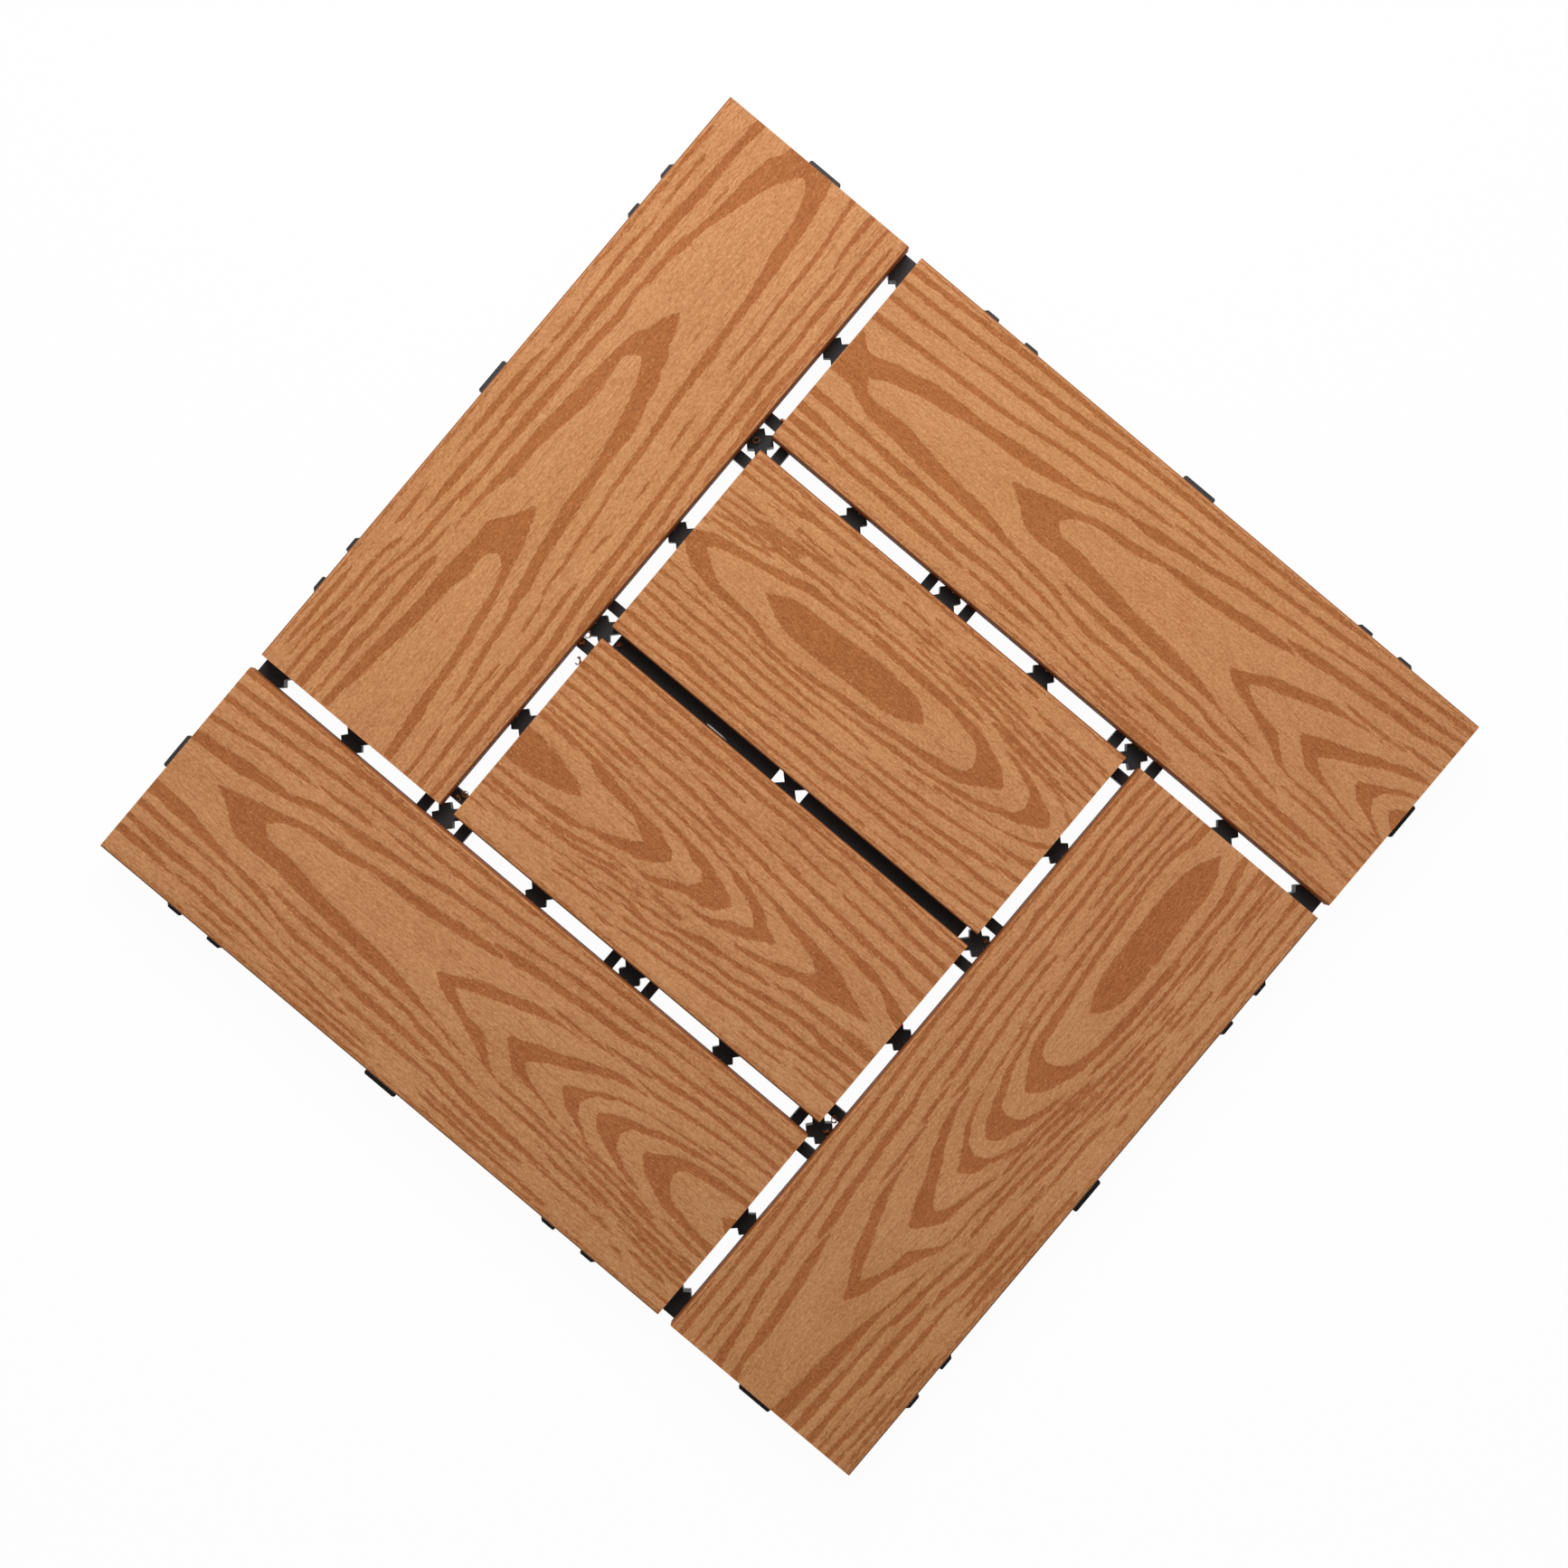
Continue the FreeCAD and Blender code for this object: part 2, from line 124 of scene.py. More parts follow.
# how far two noises shift the edge of the dark figure, mm
RAGGED_REACH = 3.1
WANDER_REACH = 0.8
# how much each noise adds to the tone
FIBRE_TONE = 0.8
CLOUD_TONE = 0.25
SPECK_TONE = 0.9
# how strong streaks and flecks get, and the head start of a fleck in the dark figure
STREAK_SHARE = 0.85
FLECK_SHARE = 0.7
FLECK_IN_DARK = 0.03
SEED_STEP = 13.7

# Spans of a value that are stretched from none to full
NOISE_SPAN = (0.3, 0.7)
PATCH_SPAN = (0.35, 0.65)
FIBRE_SPAN = (0.34, 0.66)
SPECK_SPAN = (0.32, 0.68)
TONE_SPAN = (-1.35, 1.35)
EDGE_SPAN = (-0.1, 0.1)
STREAK_SPAN = (0.6, 0.645)
FLECK_SPAN = (0.69, 0.73)
END_SPAN = (0.3, 0.45)
SIDE_SPAN = (0.6, 0.8)

# Surfaces: roughness from low to high, bump as distance in mm and strength
WOOD_ROUGHNESS = (0.62, 0.68)
WOOD_SPECULAR = 0.2
WOOD_BUMP = (0.2, 0.9)
FIBRE_HEIGHT = 0.7
RAGGED_HEIGHT = 0.3
GRIT_HEIGHT = 0.5
PLASTIC_ROUGHNESS = (0.5, 0.62)
PLASTIC_SPECULAR = 0.35
PLASTIC_BUMP = (0.05, 0.5)
PLASTIC_BEVEL = 0.35
BEVEL_SAMPLES = 4
STEEL_ROUGHNESS = (0.25, 0.42)
SWARF_ROUGHNESS = 0.7

# Grain figures in tenths of a millimetre, in the board's own frame: X along it, Y from its middle.
# arch: x, upper edge outside, upper edge inside, lower edge inside, lower edge outside
# band: x, lower edge, upper edge
# where the two edges in the middle meet, one value stands for both
TENTHS = 10
ROLL_ARCHES = [
    [(-1630, -11, -41, 19, -26), (-1600, 14, -31, 9, -56), (-1555, 37, -13, -86), (-1520, 44, 6, -34, -96),
     (-1460, 56, 24, -71, -108), (-1380, 66, 44, -81, -109), (-1300, 87, 54, -86, -113),
     (-1220, 106, 77, -108, -128), (-1130, 104, 84, -112, -126), (-1040, 104, 89, -106, -124),
     (-940, 109, 91, -92, -114), (-850, 116, 89, -86, -109), (-730, 114, 84, -73, -94),
     (-600, 99, 72, -54, -86), (-500, 82, 14, -26, -71), (-494, 78, -6, -69), (-460, 64, -36, 24, -51),
     (-420, 46, -36, 24, -26), (-382, 7, -36, 24, -6)],
    [(-1625, -110, -121, -124), (-1535, -116, -126, -130), (-1460, -126, -134, -139),
     (-1380, -122, -124, -134), (-1220, -134, -135, -146), (-1050, -134, -138, -149),
     (-930, -130, -131, -142), (-730, -112, -114, -132), (-500, -87, -89, -106), (-460, 100, 98, -81, -99),
     (-420, 102, 87, -72, -92), (-380, 96, 77, -58, -83), (-340, 86, 60, -40, -66), (-300, 72, 32, -21, -56),
     (-290, 67, 2, -53), (-260, 53, -26, 24, -41), (-220, 37, -26, 24, -21), (-196, 10, -26, 24, -3)],
    [(-550, -123, -124, -133), (-400, -105, -106, -116), (-280, -86, -87, -96), (-270, 92, 91, -85, -94),
     (-220, 90, 81, -70, -82), (-180, 76, 61, -46, -68), (-150, 64, 39, -28, -48), (-132, 57, 8, -38),
     (-100, 46, -26, 34, -23), (-63, 12, -26, 34, -4)],
    [(-280, -133, -134, -142), (-200, -118, -119, -140), (-145, 101, 100, -99, -132),
     (-100, 100, 89, -81, -112), (-50, 89, 77, -51, -96), (0, 79, 63, -29, -71), (50, 74, 44, 0, -54),
     (78, 72, 20, -46), (120, 44, -26, 34, -26), (163, 6, -26, 34, -8)],
    [(-100, 127, 126, -146, -146), (0, 130, 118, -140, -144), (80, 129, 119, -126, -140),
     (140, 120, 108, -108, -138), (170, 113, 87, -97, -134), (210, 90, 52, -86, -121),
     (240, 78, 34, -74, -111), (280, 64, 31, -58, -100), (320, 48, 22, -46, -90), (360, 34, 3, -30, -71),
     (387, 28, -14, -54), (420, 16, -46, 14, -36), (460, -12, -46, 14, -20)],
    [(230, 126, 124, 122), (280, 127, 114, 113), (330, 118, 107, -172, -174), (380, 110, 100, -162, -184),
     (450, 103, 83, -149, -182), (550, 101, 63, -133, -168), (650, 98, 50, -123, -157),
     (720, 92, 45, -120, -151), (800, 86, 39, -121, -141), (880, 80, 28, -100, -130),
     (950, 74, 19, -89, -121), (1030, 67, 8, -85, -111), (1070, 64, 8, -76, -102), (1120, 66, 4, -56, -86),
     (1152, 67, -24, -78), (1200, 64, -66, 34, -68), (1240, 44, -66, 34, -56), (1280, 12, -66, 34, -43),
     (1340, -20, -66, 34, -26)],
    [(1000, 157, 145, -161, -181), (1060, 149, 135, -153, -177), (1110, 146, 130, -135, -161),
     (1160, 145, 127, -121, -145), (1260, 140, 111, -102, -141), (1310, 137, 101, -91, -137),
     (1360, 135, 89, -85, -131), (1460, 129, 84, -81, -119), (1560, 126, 73, -71, -109),
     (1640, 119, 61, -54, -109), (1710, 113, 51, -43, -105), (1760, 111, 53, -31, -87),
     (1800, 110, 58, -19, -79), (1840, 97, 56, -4, -73), (1880, 83, 17, -57), (1920, 71, -61, -1, -46),
     (1990, 67, -61, -1, -91)],
]
ROLL_BANDS = [
    [(-1325, -4), (-1295, -22, 11), (-1235, -49, 38), (-1135, -62, 45), (-1055, -62, 49), (-935, -55, 56),
     (-835, -52, 56), (-755, -34, 46), (-715, -16, 21), (-692, -4)],
    [(-1625, -203, -193), (-1535, -205, -195), (-1445, -208, -198), (-1375, -209, -194), (-1235, -208, -196),
     (-1135, -212, -200), (-1065, -212, -194), (-995, -208, -199), (-945, -202)],
    [(-775, -191), (-735, -198, -189), (-600, -193, -182), (-500, -185, -174), (-400, -174, -162),
     (-300, -164, -151), (-220, -158)],
    [(-1625, -242, -231), (-1565, -241, -229), (-1485, -249, -232), (-1375, -244, -234), (-1235, -246, -234),
     (-1135, -254, -237), (-1035, -252, -238), (-935, -249, -229), (-835, -244, -228), (-730, -234, -219),
     (-500, -234, -217), (-400, -229, -211), (-300, -216, -197), (-220, -204)],
    [(-260, -191), (-200, -194, -178), (-130, -188, -176), (-80, -178)],
    [(-120, -167), (0, -166, -154), (70, -167, -153), (120, -160)],
    [(-1625, -286, -271), (-1535, -289, -273), (-1435, -292, -279), (-1375, -287, -274), (-1235, -294, -281),
     (-1135, -293, -284), (-1060, -284, -272), (-900, -281, -269), (-700, -282, -272), (-550, -278, -263),
     (-400, -264, -248), (-200, -260, -243), (-120, -248, -224), (0, -245, -217), (100, -234, -206),
     (200, -227, -199), (300, -217, -183), (385, -196)],
    [(-1625, -329, -312), (-1485, -333, -313), (-1425, -331, -307), (-1375, -326, -299), (-1285, -331, -311),
     (-1135, -328, -311), (-1035, -327, -309), (-935, -327, -306), (-835, -329, -307), (-730, -316, -298),
     (-550, -316, -299), (-450, -309, -292), (-360, -300)],
    [(-350, -301), (-250, -302, -294), (-180, -299, -286), (-120, -296, -275), (0, -285, -266),
     (100, -280, -266), (200, -268, -256), (300, -256, -245), (400, -253, -236), (500, -244, -226),
     (600, -237, -215), (700, -218, -196), (800, -209, -183), (900, -199, -164), (970, -184, -167),
     (1060, -178)],
    [(-1625, -371, -359), (-1485, -369, -359), (-1405, -365, -357), (-1370, -362, -352), (-1050, -364, -356),
     (-630, -364, -356)],
    [(-600, -353), (-400, -354, -346), (-200, -346, -330), (0, -336, -320), (100, -332, -318),
     (200, -322, -306), (400, -306, -291), (600, -296, -277), (800, -288, -278), (1000, -284, -271),
     (1180, -276, -256), (1350, -261, -240), (1500, -256, -234), (1600, -244, -232), (1710, -230)],
    [(1720, -228), (1800, -234, -221), (1900, -231, -212), (2010, -231, -211)],
    [(180, -353), (400, -353, -336), (700, -343, -326), (900, -343, -321), (1100, -334, -316),
     (1250, -321, -297), (1460, -309, -286), (1660, -299, -280), (1860, -291, -271), (2010, -284, -271)],
    [(1060, -360, -348), (1500, -357, -339), (1660, -351, -331), (1860, -342, -321), (2010, -338, -314)],
    [(1100, -210), (1180, -214, -198), (1300, -206, -191), (1450, -184, -166), (1560, -176, -155),
     (1660, -172, -151), (1860, -161, -140), (2010, -156, -128)],
    [(870, -233), (950, -236, -223), (1050, -226, -216), (1130, -222)],
    [(660, -251), (750, -257, -241), (870, -246)],
    [(-660, -150), (-600, -146, -140), (-520, -137)],
    [(-1625, -165, -157), (-1565, -161, -153), (-1485, -162, -156), (-1375, -168, -156), (-1235, -174, -162),
     (-1135, -179, -164), (-1035, -178, -166), (-935, -174, -161), (-765, -167)],
    [(100, 187), (160, 171, 182), (260, 152, 169), (400, 140, 160), (450, 131, 144), (620, 124, 142),
     (760, 114, 142), (900, 112, 134), (1035, 111)],
    [(-200, 232), (-100, 227, 242), (0, 218, 244), (100, 216, 241), (200, 208, 227), (250, 197, 219),
     (330, 214)],
    [(300, 192), (360, 186, 207), (450, 177, 204), (580, 174, 204), (750, 171, 191), (850, 170, 194),
     (950, 161, 173), (1000, 154, 164), (1080, 140, 154), (1160, 144)],
    [(240, 244), (350, 236, 251), (450, 234, 254), (520, 231, 248), (600, 232, 244), (640, 237)],
    [(-120, 264), (-60, 262, 277), (30, 260, 274), (200, 252, 264), (270, 250)],
    [(-80, 293), (50, 288, 299), (150, 282, 298), (280, 284)],
    [(590, 264), (620, 264, 274), (760, 254, 269), (850, 249, 262), (960, 236, 253), (1100, 226, 243),
     (1200, 217, 237), (1350, 218, 246), (1500, 212, 232), (1660, 206, 229), (1810, 218, 229),
     (1900, 201, 229), (2010, 197, 229)],
    [(650, 222), (830, 218, 224), (910, 210), (1000, 186, 200), (1100, 174, 191), (1200, 166, 176),
     (1350, 163, 182), (1500, 156, 179), (1610, 151, 183), (1760, 146, 170), (1860, 142, 169),
     (2010, 139, 169)],
    [(990, 279), (1080, 276, 287), (1200, 277)],
    [(1270, 276), (1350, 261, 283), (1500, 254, 284), (1660, 254, 279), (1760, 254, 279), (1860, 246, 273),
     (2010, 246, 272)],
    [(1800, 298), (1860, 292, 303), (2010, 292, 304)],
    [(-1335, 267), (-1235, 261, 269), (-1135, 260, 272), (-1065, 264, 276), (-965, 269)],
    [(-1625, 264, 274), (-1485, 267, 281), (-1380, 260, 274), (-1250, 258, 270), (-1120, 264, 276),
     (-1000, 280)],
    [(-1625, 291, 301), (-1485, 296, 305), (-1385, 296, 304), (-1265, 299, 309), (-1135, 304, 311),
     (-985, 306, 313), (-785, 303, 312), (-585, 309)],
    [(-1135, 184), (-1085, 188, 199), (-965, 196, 204), (-835, 196, 206), (-735, 184, 196), (-635, 179, 194),
     (-535, 177, 188), (-415, 178)],
    [(-1375, 192), (-1235, 186, 193), (-1105, 188, 198), (-1035, 195)],
    [(-1375, 206, 213), (-1235, 207)],
    [(-1145, 214), (-1105, 209, 219), (-1045, 215)],
    [(-1255, 231), (-1205, 230, 237), (-1145, 234)],
    [(-775, 220), (-685, 209, 224), (-585, 202, 214), (-435, 194, 204), (-305, 182, 192), (-195, 174)],
    [(-1375, 152, 161), (-1295, 158)],
    [(-1115, 155), (-1015, 152, 166), (-965, 156), (-865, 164), (-835, 158, 168), (-745, 158)],
    [(-1625, 231, 239), (-1535, 233, 242), (-1455, 237, 249), (-1395, 239, 257), (-1365, 249, 257),
     (-1305, 256)],
    [(-1495, 209), (-1455, 210, 215), (-1405, 213)],
    [(-1625, 164, 171), (-1525, 167, 175), (-1475, 177)],
    [(-1495, 152), (-1445, 153, 164), (-1395, 159, 169), (-1335, 164, 174), (-1285, 168, 178),
     (-1245, 168, 179), (-1155, 174)],
    [(-1625, 132, 138), (-1545, 139, 149), (-1475, 145, 151), (-1405, 143, 152), (-1335, 141, 148),
     (-1305, 145)],
    [(-1485, 131), (-1435, 131, 142), (-1385, 135, 143), (-1345, 139)],
    [(-1625, 105, 112), (-1565, 107, 117), (-1485, 117, 126), (-1405, 123, 131), (-1345, 128)],
    [(-1605, 82, 88), (-1545, 91, 103), (-1485, 98, 110), (-1445, 103, 111), (-1405, 108)],
    [(-1615, 61), (-1535, 63, 77), (-1465, 71, 83), (-1405, 84, 92), (-1365, 94)],
    [(-1625, 42, 55), (-1595, 49)],
    [(-1465, 93), (-1415, 93, 103), (-1375, 109, 131), (-1285, 116, 136), (-1185, 126, 139),
     (-1135, 122, 134), (-1055, 128, 144), (-935, 134, 145), (-785, 132, 142), (-735, 129, 139),
     (-635, 118, 136), (-545, 120)],
    [(-535, 130, 142), (-435, 132, 142), (-305, 122, 132), (-255, 126)],
    [(-515, 128), (-435, 114, 125), (-335, 102, 114), (-235, 94, 102), (-185, 90)],
    [(-740, 184, 196), (-560, 178)],
    [(-480, 257), (-400, 241, 253), (-200, 243, 250), (-120, 245)],
    [(-460, 200), (-350, 180, 192), (-270, 173, 182), (-100, 156, 170), (0, 154, 167), (110, 159)],
    [(-400, 214), (-250, 200, 213), (-120, 194)],
    [(-200, 143), (-80, 130, 140), (20, 126)],
    [(470, 298), (500, 295, 300), (600, 294, 300), (690, 287, 303), (760, 291, 297), (850, 284, 291),
     (960, 275, 283), (1040, 267, 278), (1160, 265, 277), (1270, 267, 277)],
    [(970, 311), (1110, 307, 315), (1170, 312)],
    [(400, 318), (500, 312, 322), (660, 313, 322), (810, 315, 322), (900, 319)],
    [(-250, 316, 326), (-60, 310, 320), (80, 309, 318), (160, 300, 315), (230, 300, 312), (270, 306)],
    [(-985, 240, 249), (-900, 241, 248), (-835, 245)],
    [(-765, 243), (-710, 241, 248), (-655, 238, 244), (-585, 229, 239), (-535, 224, 234), (-455, 221)],
    [(-695, 265), (-635, 258, 273), (-585, 257, 269), (-525, 259)],
    [(-545, 285), (-510, 281, 290), (-475, 285)],
    [(-885, 221, 225), (-855, 216, 226), (-775, 222)],
    [(-875, 270), (-835, 267, 274), (-790, 270)],
    [(-735, 169), (-685, 166, 174), (-615, 166)],
    [(-635, 157), (-585, 153, 165), (-535, 148, 160), (-435, 140, 148), (-395, 142)],
    [(-525, 172), (-435, 162, 170), (-365, 153, 166), (-305, 149, 157), (-265, 151)],
    [(-885, 182), (-845, 178, 186), (-805, 182)],
    [(-985, 108, 116), (-915, 109, 115), (-845, 112)],
    [(-295, 116), (-235, 111, 119), (-185, 111, 117), (-140, 113)],
    [(-265, 144), (-185, 136, 144), (-130, 139)],
]
PEAK_ARCHES = [
    [(-730, 119, 94, -131, -160), (-650, 116, 90, -121, -154), (-580, 114, 74, -111, -149),
     (-500, 112, 69, -103, -136), (-400, 100, 55, -100, -126), (-300, 93, 46, -86, -116),
     (-200, 93, 37, -72, -101), (-130, 91, 22, -63, -88), (-80, 86, 27, -48, -76), (-50, 84, 20, -36, -69),
     (-28, 84, -4, -64), (20, 87, -56, 54, -53), (50, 70, -56, 54, -43), (80, 44, -56, 54, -33),
     (120, 24, -56, 54, -19), (160, 6, -56, 54, 2)],
    [(-500, -190, -191, -194), (-450, -184, -186, -198), (-400, -172, -174, -196), (-300, -154, -156, -176),
     (-200, -142, -144, -166), (-120, -122, -123, -153), (-50, 156, 148, -110, -148),
     (50, 156, 140, -87, -127), (120, 156, 130, -80, -119), (200, 154, 112, -63, -111),
     (280, 152, 111, -58, -100), (360, 150, 102, -54, -93), (450, 144, 90, -36, -86),
     (500, 140, 83, -26, -84), (560, 135, 82, -17, -74), (620, 129, 85, 2, -55), (670, 124, 92, 24, -47),
     (700, 121, 74, 39, -39), (716, 119, 50, -28), (760, 112, -6, 74, -16), (800, 87, -6, 74, 4),
     (850, 72, -6, 74, 22), (892, 50, -6, 74, 42)],
    [(-40, -183, -184, -192), (100, -168, -169, -183), (200, -153, -154, -173), (270, -148, -149, -164),
     (340, -138, -139, -154), (420, -127, -128, -152), (520, -122, -123, -146), (600, -112, -113, -138),
     (740, -98, -99, -127), (850, -92, -93, -128), (920, -89, -90, -114), (1030, -82, -83, -111),
     (1080, 179, 156, -77, -110), (1120, 174, 152, -69, -108), (1180, 167, 138, -58, -104),
     (1220, 164, 124, -50, -98), (1280, 158, 108, -46, -95), (1330, 154, 92, -42, -88),
     (1380, 150, 74, -26, -81), (1410, 146, 54, -16, -75), (1440, 134, 36, 4, -69), (1452, 124, 18, -66),
     (1505, 110, -26, 74, -54)],
]
PEAK_BANDS = [
    [(-740, 192, 224), (-570, 192, 221), (-500, 194, 214), (-400, 189, 212), (-300, 187, 207),
     (-250, 183, 194), (-200, 173, 183), (-120, 161, 174), (-60, 166)],
    [(-740, 246, 264), (-600, 249, 264), (-530, 247, 259), (-450, 242)],
    [(-680, 287), (-600, 286, 294), (-500, 268, 288), (-400, 264, 282), (-250, 262, 278), (-200, 249, 266),
     (-175, 252)],
    [(-650, 316), (-600, 309, 322), (-500, 307, 324), (-420, 307, 322), (-350, 313)],
    [(-430, 239), (-330, 233, 241), (-280, 223, 234), (-220, 210, 224), (-150, 199, 217), (-50, 200, 216),
     (50, 196, 206), (120, 200)],
    [(-740, 149, 157), (-600, 142, 157), (-520, 139, 164), (-450, 132, 154), (-350, 132, 156),
     (-250, 126, 154), (-180, 129, 149), (-150, 138)],
    [(-170, 297), (-100, 288, 305), (-40, 297, 303), (0, 302)],
    [(-130, 252), (0, 239, 258), (100, 234, 262), (250, 237, 254), (400, 236, 260), (550, 232, 254),
     (700, 229, 256), (900, 227, 258), (1100, 224, 264), (1200, 218, 256), (1370, 222, 250),
     (1510, 209, 244)],
    [(120, 294), (200, 288, 302), (300, 282, 306), (400, 281, 308), (480, 284, 303), (550, 288)],
    [(560, 290), (620, 277, 292), (700, 281, 292), (800, 284, 297), (920, 286, 304), (990, 287, 299),
     (1070, 287)],
    [(1060, 293), (1150, 291, 299), (1200, 289, 306), (1290, 289, 304), (1320, 297)],
    [(20, 191), (130, 183, 197), (220, 183, 204), (320, 178, 208), (420, 177, 210), (550, 179, 201),
     (650, 174, 204), (760, 168, 196), (850, 182, 201), (920, 172, 197), (1000, 171, 197), (1050, 158, 194),
     (1090, 154, 184)],
    [(-740, -231, -218), (-650, -227, -214), (-580, -218, -207), (-540, -209)],
    [(-520, -234), (-450, -236, -224), (-380, -230, -217), (-300, -229, -218), (-280, -223)],
    [(-740, -288, -270), (-650, -281, -266), (-550, -277, -256), (-450, -273, -252), (-300, -267, -252),
     (-150, -266, -251), (-10, -257, -243), (60, -246)],
    [(-740, -336, -317), (-600, -333, -313), (-500, -331, -306), (-400, -324, -305), (-250, -331, -304),
     (-100, -318, -293), (0, -303, -277), (200, -296, -271), (450, -278, -256), (760, -256, -238),
     (850, -248, -232), (1000, -246, -233), (1250, -246, -236), (1320, -238)],
    [(-80, -344), (-10, -350, -331), (100, -346, -324), (200, -338, -318), (350, -334, -317),
     (450, -323, -306), (600, -310, -294), (700, -304, -287), (800, -309, -283), (920, -300, -274),
     (1050, -298, -279), (1150, -293, -271), (1250, -296, -276), (1350, -286, -271), (1510, -286, -276)],
    [(720, -334), (900, -343, -320), (1000, -344, -328), (1150, -342, -328), (1250, -337, -321),
     (1370, -334, -316), (1480, -326)],
    [(500, -350), (600, -353, -341), (760, -351, -337), (900, -346)],
    [(840, -181), (920, -187, -171), (1000, -184, -174), (1120, -176, -166), (1200, -178, -157),
     (1300, -173, -156), (1400, -160, -146), (1510, -148, -130)],
    [(1300, -231), (1350, -229, -216), (1430, -231, -208), (1510, -231, -207)],
    [(150, -222), (200, -232, -218), (250, -232)],
    [(340, -220), (420, -219, -213), (490, -213)],
    [(550, -204), (620, -201, -192), (690, -190)],
    [(-200, -214), (-140, -214, -207), (-50, -200)],
    [(1190, 178), (1240, 176, 182), (1280, 179)],
    [(-600, 246), (-480, 236), (-440, 234)],
    [(-400, -348), (0, -354, -347), (400, -352)],
    [(820, 334), (1000, 330, 337), (1400, 332, 338)],
]
KNOT_ARCHES = [
    [(-650, 21, -12, 48, 15), (-600, 31, -12, 48, 1), (-550, 39, -12, 48, -17), (-500, 54, -12, 48, -41),
     (-432, 56, 10, -56), (-400, 60, 28, -18, -62), (-350, 76, 43, -32, -67), (-300, 86, 62, -42, -72),
     (-250, 97, 78, -54, -78), (-200, 101, 90, -70, -84), (-180, 97, 95, -73, -86), (-100, -82, -83, -96),
     (0, -98, -99, -112), (100, -112, -113, -127), (200, -118, -119, -132), (350, -124, -125, -140),
     (450, -133, -134, -152), (600, -141, -142, -153), (730, -142, -143, -154)],
    [(-280, 21, -12, 48, 15), (-250, 34, -12, 48, 2), (-220, 55, -12, 48, -12), (-192, 65, 22, -34),
     (-160, 75, 38, -12, -49), (-130, 85, 48, -27, -59), (-100, 96, 68, -38, -69), (-70, 103, 83, -45, -73),
     (-30, 107, 94, -62, -76), (30, 106, 98, -72, -83), (40, -72, -73, -86), (150, -83, -84, -97),
     (300, -88, -89, -102), (400, -96, -97, -102)],
    [(-100, 21, -12, 48, 15), (-85, 41, -12, 48, 1), (-60, 64, -12, 48, -12), (-30, 74, -12, 48, -24),
     (16, 77, 14, -39), (40, 80, 48, -9, -47), (80, 98, 65, -14, -54), (120, 112, 86, -34, -54),
     (150, 120, 101, -40, -58), (200, 121, 114, -47, -64), (220, 118, 117, -50, -66), (250, -53, -54, -69),
     (350, -61, -62, -76), (450, -71, -72, -86), (600, -82, -83, -94), (730, -82, -83, -94)],
    [(130, 31, -2, 68, 25), (150, 50, -2, 68, 3), (180, 73, -2, 68, -9), (210, 88, -2, 68, -20),
     (236, 93, 38, -24), (260, 98, 54, 23, -28), (300, 111, 73, 0, -33), (350, 118, 94, -9, -42),
     (380, 120, 104, -11, -45), (410, 121, 118, -14, -50), (440, -12, -13, -57), (480, -26, -27, -64),
     (520, -46, -47, -66), (600, -51, -52, -72), (730, -51, -52, -74)],
]
